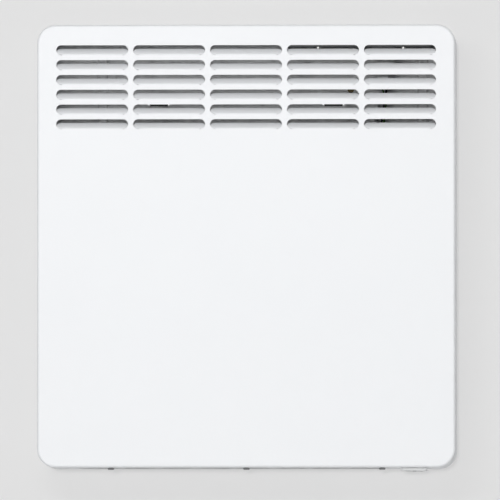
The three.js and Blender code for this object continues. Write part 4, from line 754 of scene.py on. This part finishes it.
def readout(bm):
    depth = (CELL_TOP_Z - PRINT_SINK, CELL_TOP_Z + DIGIT_RISE)
    line = CONTROL_Y - DIGIT_SIZE[1] / 2
    for figure, left in READOUT:
        for name in LIT[figure]:
            along_z(bm, segment(*SEGMENTS[name], (left, line)), depth)
    along_z(bm, circle((POINT_X, line + POINT_RISE), POINT_RADIUS, 12), depth)
    add_ring(bm, *DEGREE_RING, depth)


digits = piece("display_readout", readout, FINISHES["black_plastic"])
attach(digits, "heater")

ROCKER_PIVOT = Vector((170.5, -83, -223.9)) * MM
ROCKER_HALF_TILT = 5
ROCKER_REST = Matrix.Rotation(math.radians(-ROCKER_HALF_TILT), 4, "X")
ROCKER_STROKE = ((0, -7.6), (0, -4.4))
ROCKER_PRINT_Z = (-4.14, -3.8)


def rocker_print(bm):
    """A stroke on the front half of the rocker's face and a ring on the rear half."""
    along_z(bm, bar(*ROCKER_STROKE), ROCKER_PRINT_Z)
    add_ring(bm, *ROCKER_RING, ROCKER_PRINT_Z)
    for corner in bm.verts:
        corner.co = ROCKER_PIVOT + ROCKER_REST @ corner.co


rocker_mark = piece("rocker_mark", rocker_print, FINISHES["grey_plastic"])
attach(rocker_mark, "switch_rocker")

# ------------------------------------------------------------------ lamps, wall and floor

GREY = (0.81, 0.81, 0.81)
WALL_Y = 0.0006
WALL_REACH = 5
WALL_TOP_Z = 4
FLOOR_Z = -1.3
FLOOR_REACH = 6


def stage_finish(name, shade):
    """A plain pale surface, clear from behind, that keeps part of the shadow it takes."""
    plain = Finish(name)
    path = plain.node("ShaderNodeLightPath")
    seen = path["Is Camera Ray"] + path["Is Glossy Ray"] + path["Is Transmission Ray"]
    grain = plain.noise(3)
    diffuse = plain.node(
        "ShaderNodeBsdfDiffuse", None, {"Color": plain.blend(grain, (0.74,) * 3, (0.75,) * 3)}
    )["BSDF"]
    even = plain.node("ShaderNodeEmission", None, {"Color": GREY, "Strength": 1.0})["Emission"]
    lit = plain.node("ShaderNodeMixShader", None, {0: seen * (1 - shade), 1: diffuse, 2: even})
    clear = plain.node("ShaderNodeBsdfTransparent")["BSDF"]
    behind = plain.node("ShaderNodeNewGeometry")["Backfacing"]
    both = plain.node(
        "ShaderNodeMixShader", None, {0: behind, 1: lit["Shader"], 2: clear}
    )
    plain.node("ShaderNodeOutputMaterial", None, {"Surface": both["Shader"]})
    return plain.owner


def flat(name, corners, material):
    def draw(bm):
        bm.faces.new([bm.verts.new(c) for c in corners])

    made = piece(name, draw, material)
    return made


wall = flat(
    "wall",
    [
        (-WALL_REACH, WALL_Y, FLOOR_Z),
        (WALL_REACH, WALL_Y, FLOOR_Z),
        (WALL_REACH, WALL_Y, WALL_TOP_Z),
        (-WALL_REACH, WALL_Y, WALL_TOP_Z),
    ],
    stage_finish("pale_wall", 0.4),
)
floor = flat(
    "floor",
    [
        (-FLOOR_REACH, -FLOOR_REACH, FLOOR_Z),
        (FLOOR_REACH, -FLOOR_REACH, FLOOR_Z),
        (FLOOR_REACH, FLOOR_REACH, FLOOR_Z),
        (-FLOOR_REACH, FLOOR_REACH, FLOOR_Z),
    ],
    stage_finish("pale_floor", 0.35),
)


def face_towards(made, direction):
    normal = made.data.polygons[0].normal
    if normal.dot(Vector(direction)) < 0:
        made.data.flip_normals()


wall.visible_shadow = False
face_towards(wall, (0, -1, 0))
face_towards(floor, (0, 0, 1))

world = bpy.data.worlds.new("studio")
bpy.context.scene.world = world
air = Finish("studio", world)
path = air.node("ShaderNodeLightPath")
shown = path["Is Camera Ray"] + path["Is Glossy Ray"] + path["Is Transmission Ray"]
backdrop = air.node("ShaderNodeBackground", None, {"Color": GREY, "Strength": 1.0})
ambient = air.node(
    "ShaderNodeBackground", None, {"Color": (0.985, 0.99, 1.0), "Strength": 0.18}
)
mixed = air.node(
    "ShaderNodeMixShader",
    None,
    {0: shown.at_most(1), 1: ambient["Background"], 2: backdrop["Background"]},
)
air.node("ShaderNodeOutputWorld", None, {"Surface": mixed["Shader"]})


def lamp(name, kind, place, aim, energy):
    """A lamp at a place, turned to the point it lights."""
    light = bpy.data.lights.new(name, kind)
    light.energy = energy
    made = bpy.data.objects.new(name, light)
    made.location = place
    made.rotation_euler = (Vector(aim) - Vector(place)).to_track_quat("-Z", "Y").to_euler()
    bpy.context.scene.collection.objects.link(made)
    return light


FAR = 10


def heading(sideways, upwards):
    """A point far in front of the face, so many degrees right of it and above it."""
    return (FAR * math.tan(math.radians(sideways)), -FAR, FAR * math.tan(math.radians(upwards)))


key = lamp("key", "SUN", heading(-0.5, 1.1), (0, 0, 0), 1.2)
key.angle = math.radians(1.8)


def panel_lamp(name, place, aim, size, watts):
    light = lamp(name, "AREA", place, aim, watts)
    light.shape = "RECTANGLE"
    light.size, light.size_y = size


panel_lamp("softbox", (-0.15, -1.2, 0.8), (0, -0.1, 0.1), (1.2, 0.7), 2.3)
panel_lamp("rear_softbox", (0.3, 1.8, 0.5), (0, 0, 0), (1.4, 1.2), 14)
panel_lamp("upper_strip", (-0.35, -3.1, 0.533), (0, -0.1, 0.165), (0.8, 0.13), 13)
panel_lamp("lower_strip", (-0.35, -3.1, -0.364), (0, -0.1, 0.165), (0.8, 0.17), 5)

# ------------------------------------------------------------------ camera

PIXEL = 1.018 * MM
FRAME_SIDE_PX = 500
AIM_RIGHT_PX = 4.0
AIM_UP_PX = -4.1
DISTANCE = 15
AZIMUTH = math.radians(1.9)
ELEVATION = math.radians(-1.9)
aim = Vector((AIM_RIGHT_PX * PIXEL, FRONT_Y * MM, AIM_UP_PX * PIXEL))
away = Vector(
    (
        math.sin(AZIMUTH) * math.cos(ELEVATION),
        -math.cos(AZIMUTH) * math.cos(ELEVATION),
        math.sin(ELEVATION),
    )
)
lens = bpy.data.cameras.new("camera")
lens.sensor_width = 36
lens.lens = lens.sensor_width * DISTANCE / (FRAME_SIDE_PX * PIXEL)
lens.clip_end = 100
camera = bpy.data.objects.new("camera", lens)
camera.location = aim + away * DISTANCE
camera.rotation_euler = (-away).to_track_quat("-Z", "Y").to_euler()
bpy.context.scene.collection.objects.link(camera)
bpy.context.scene.camera = camera
bpy.context.scene.view_settings.view_transform = "Standard"
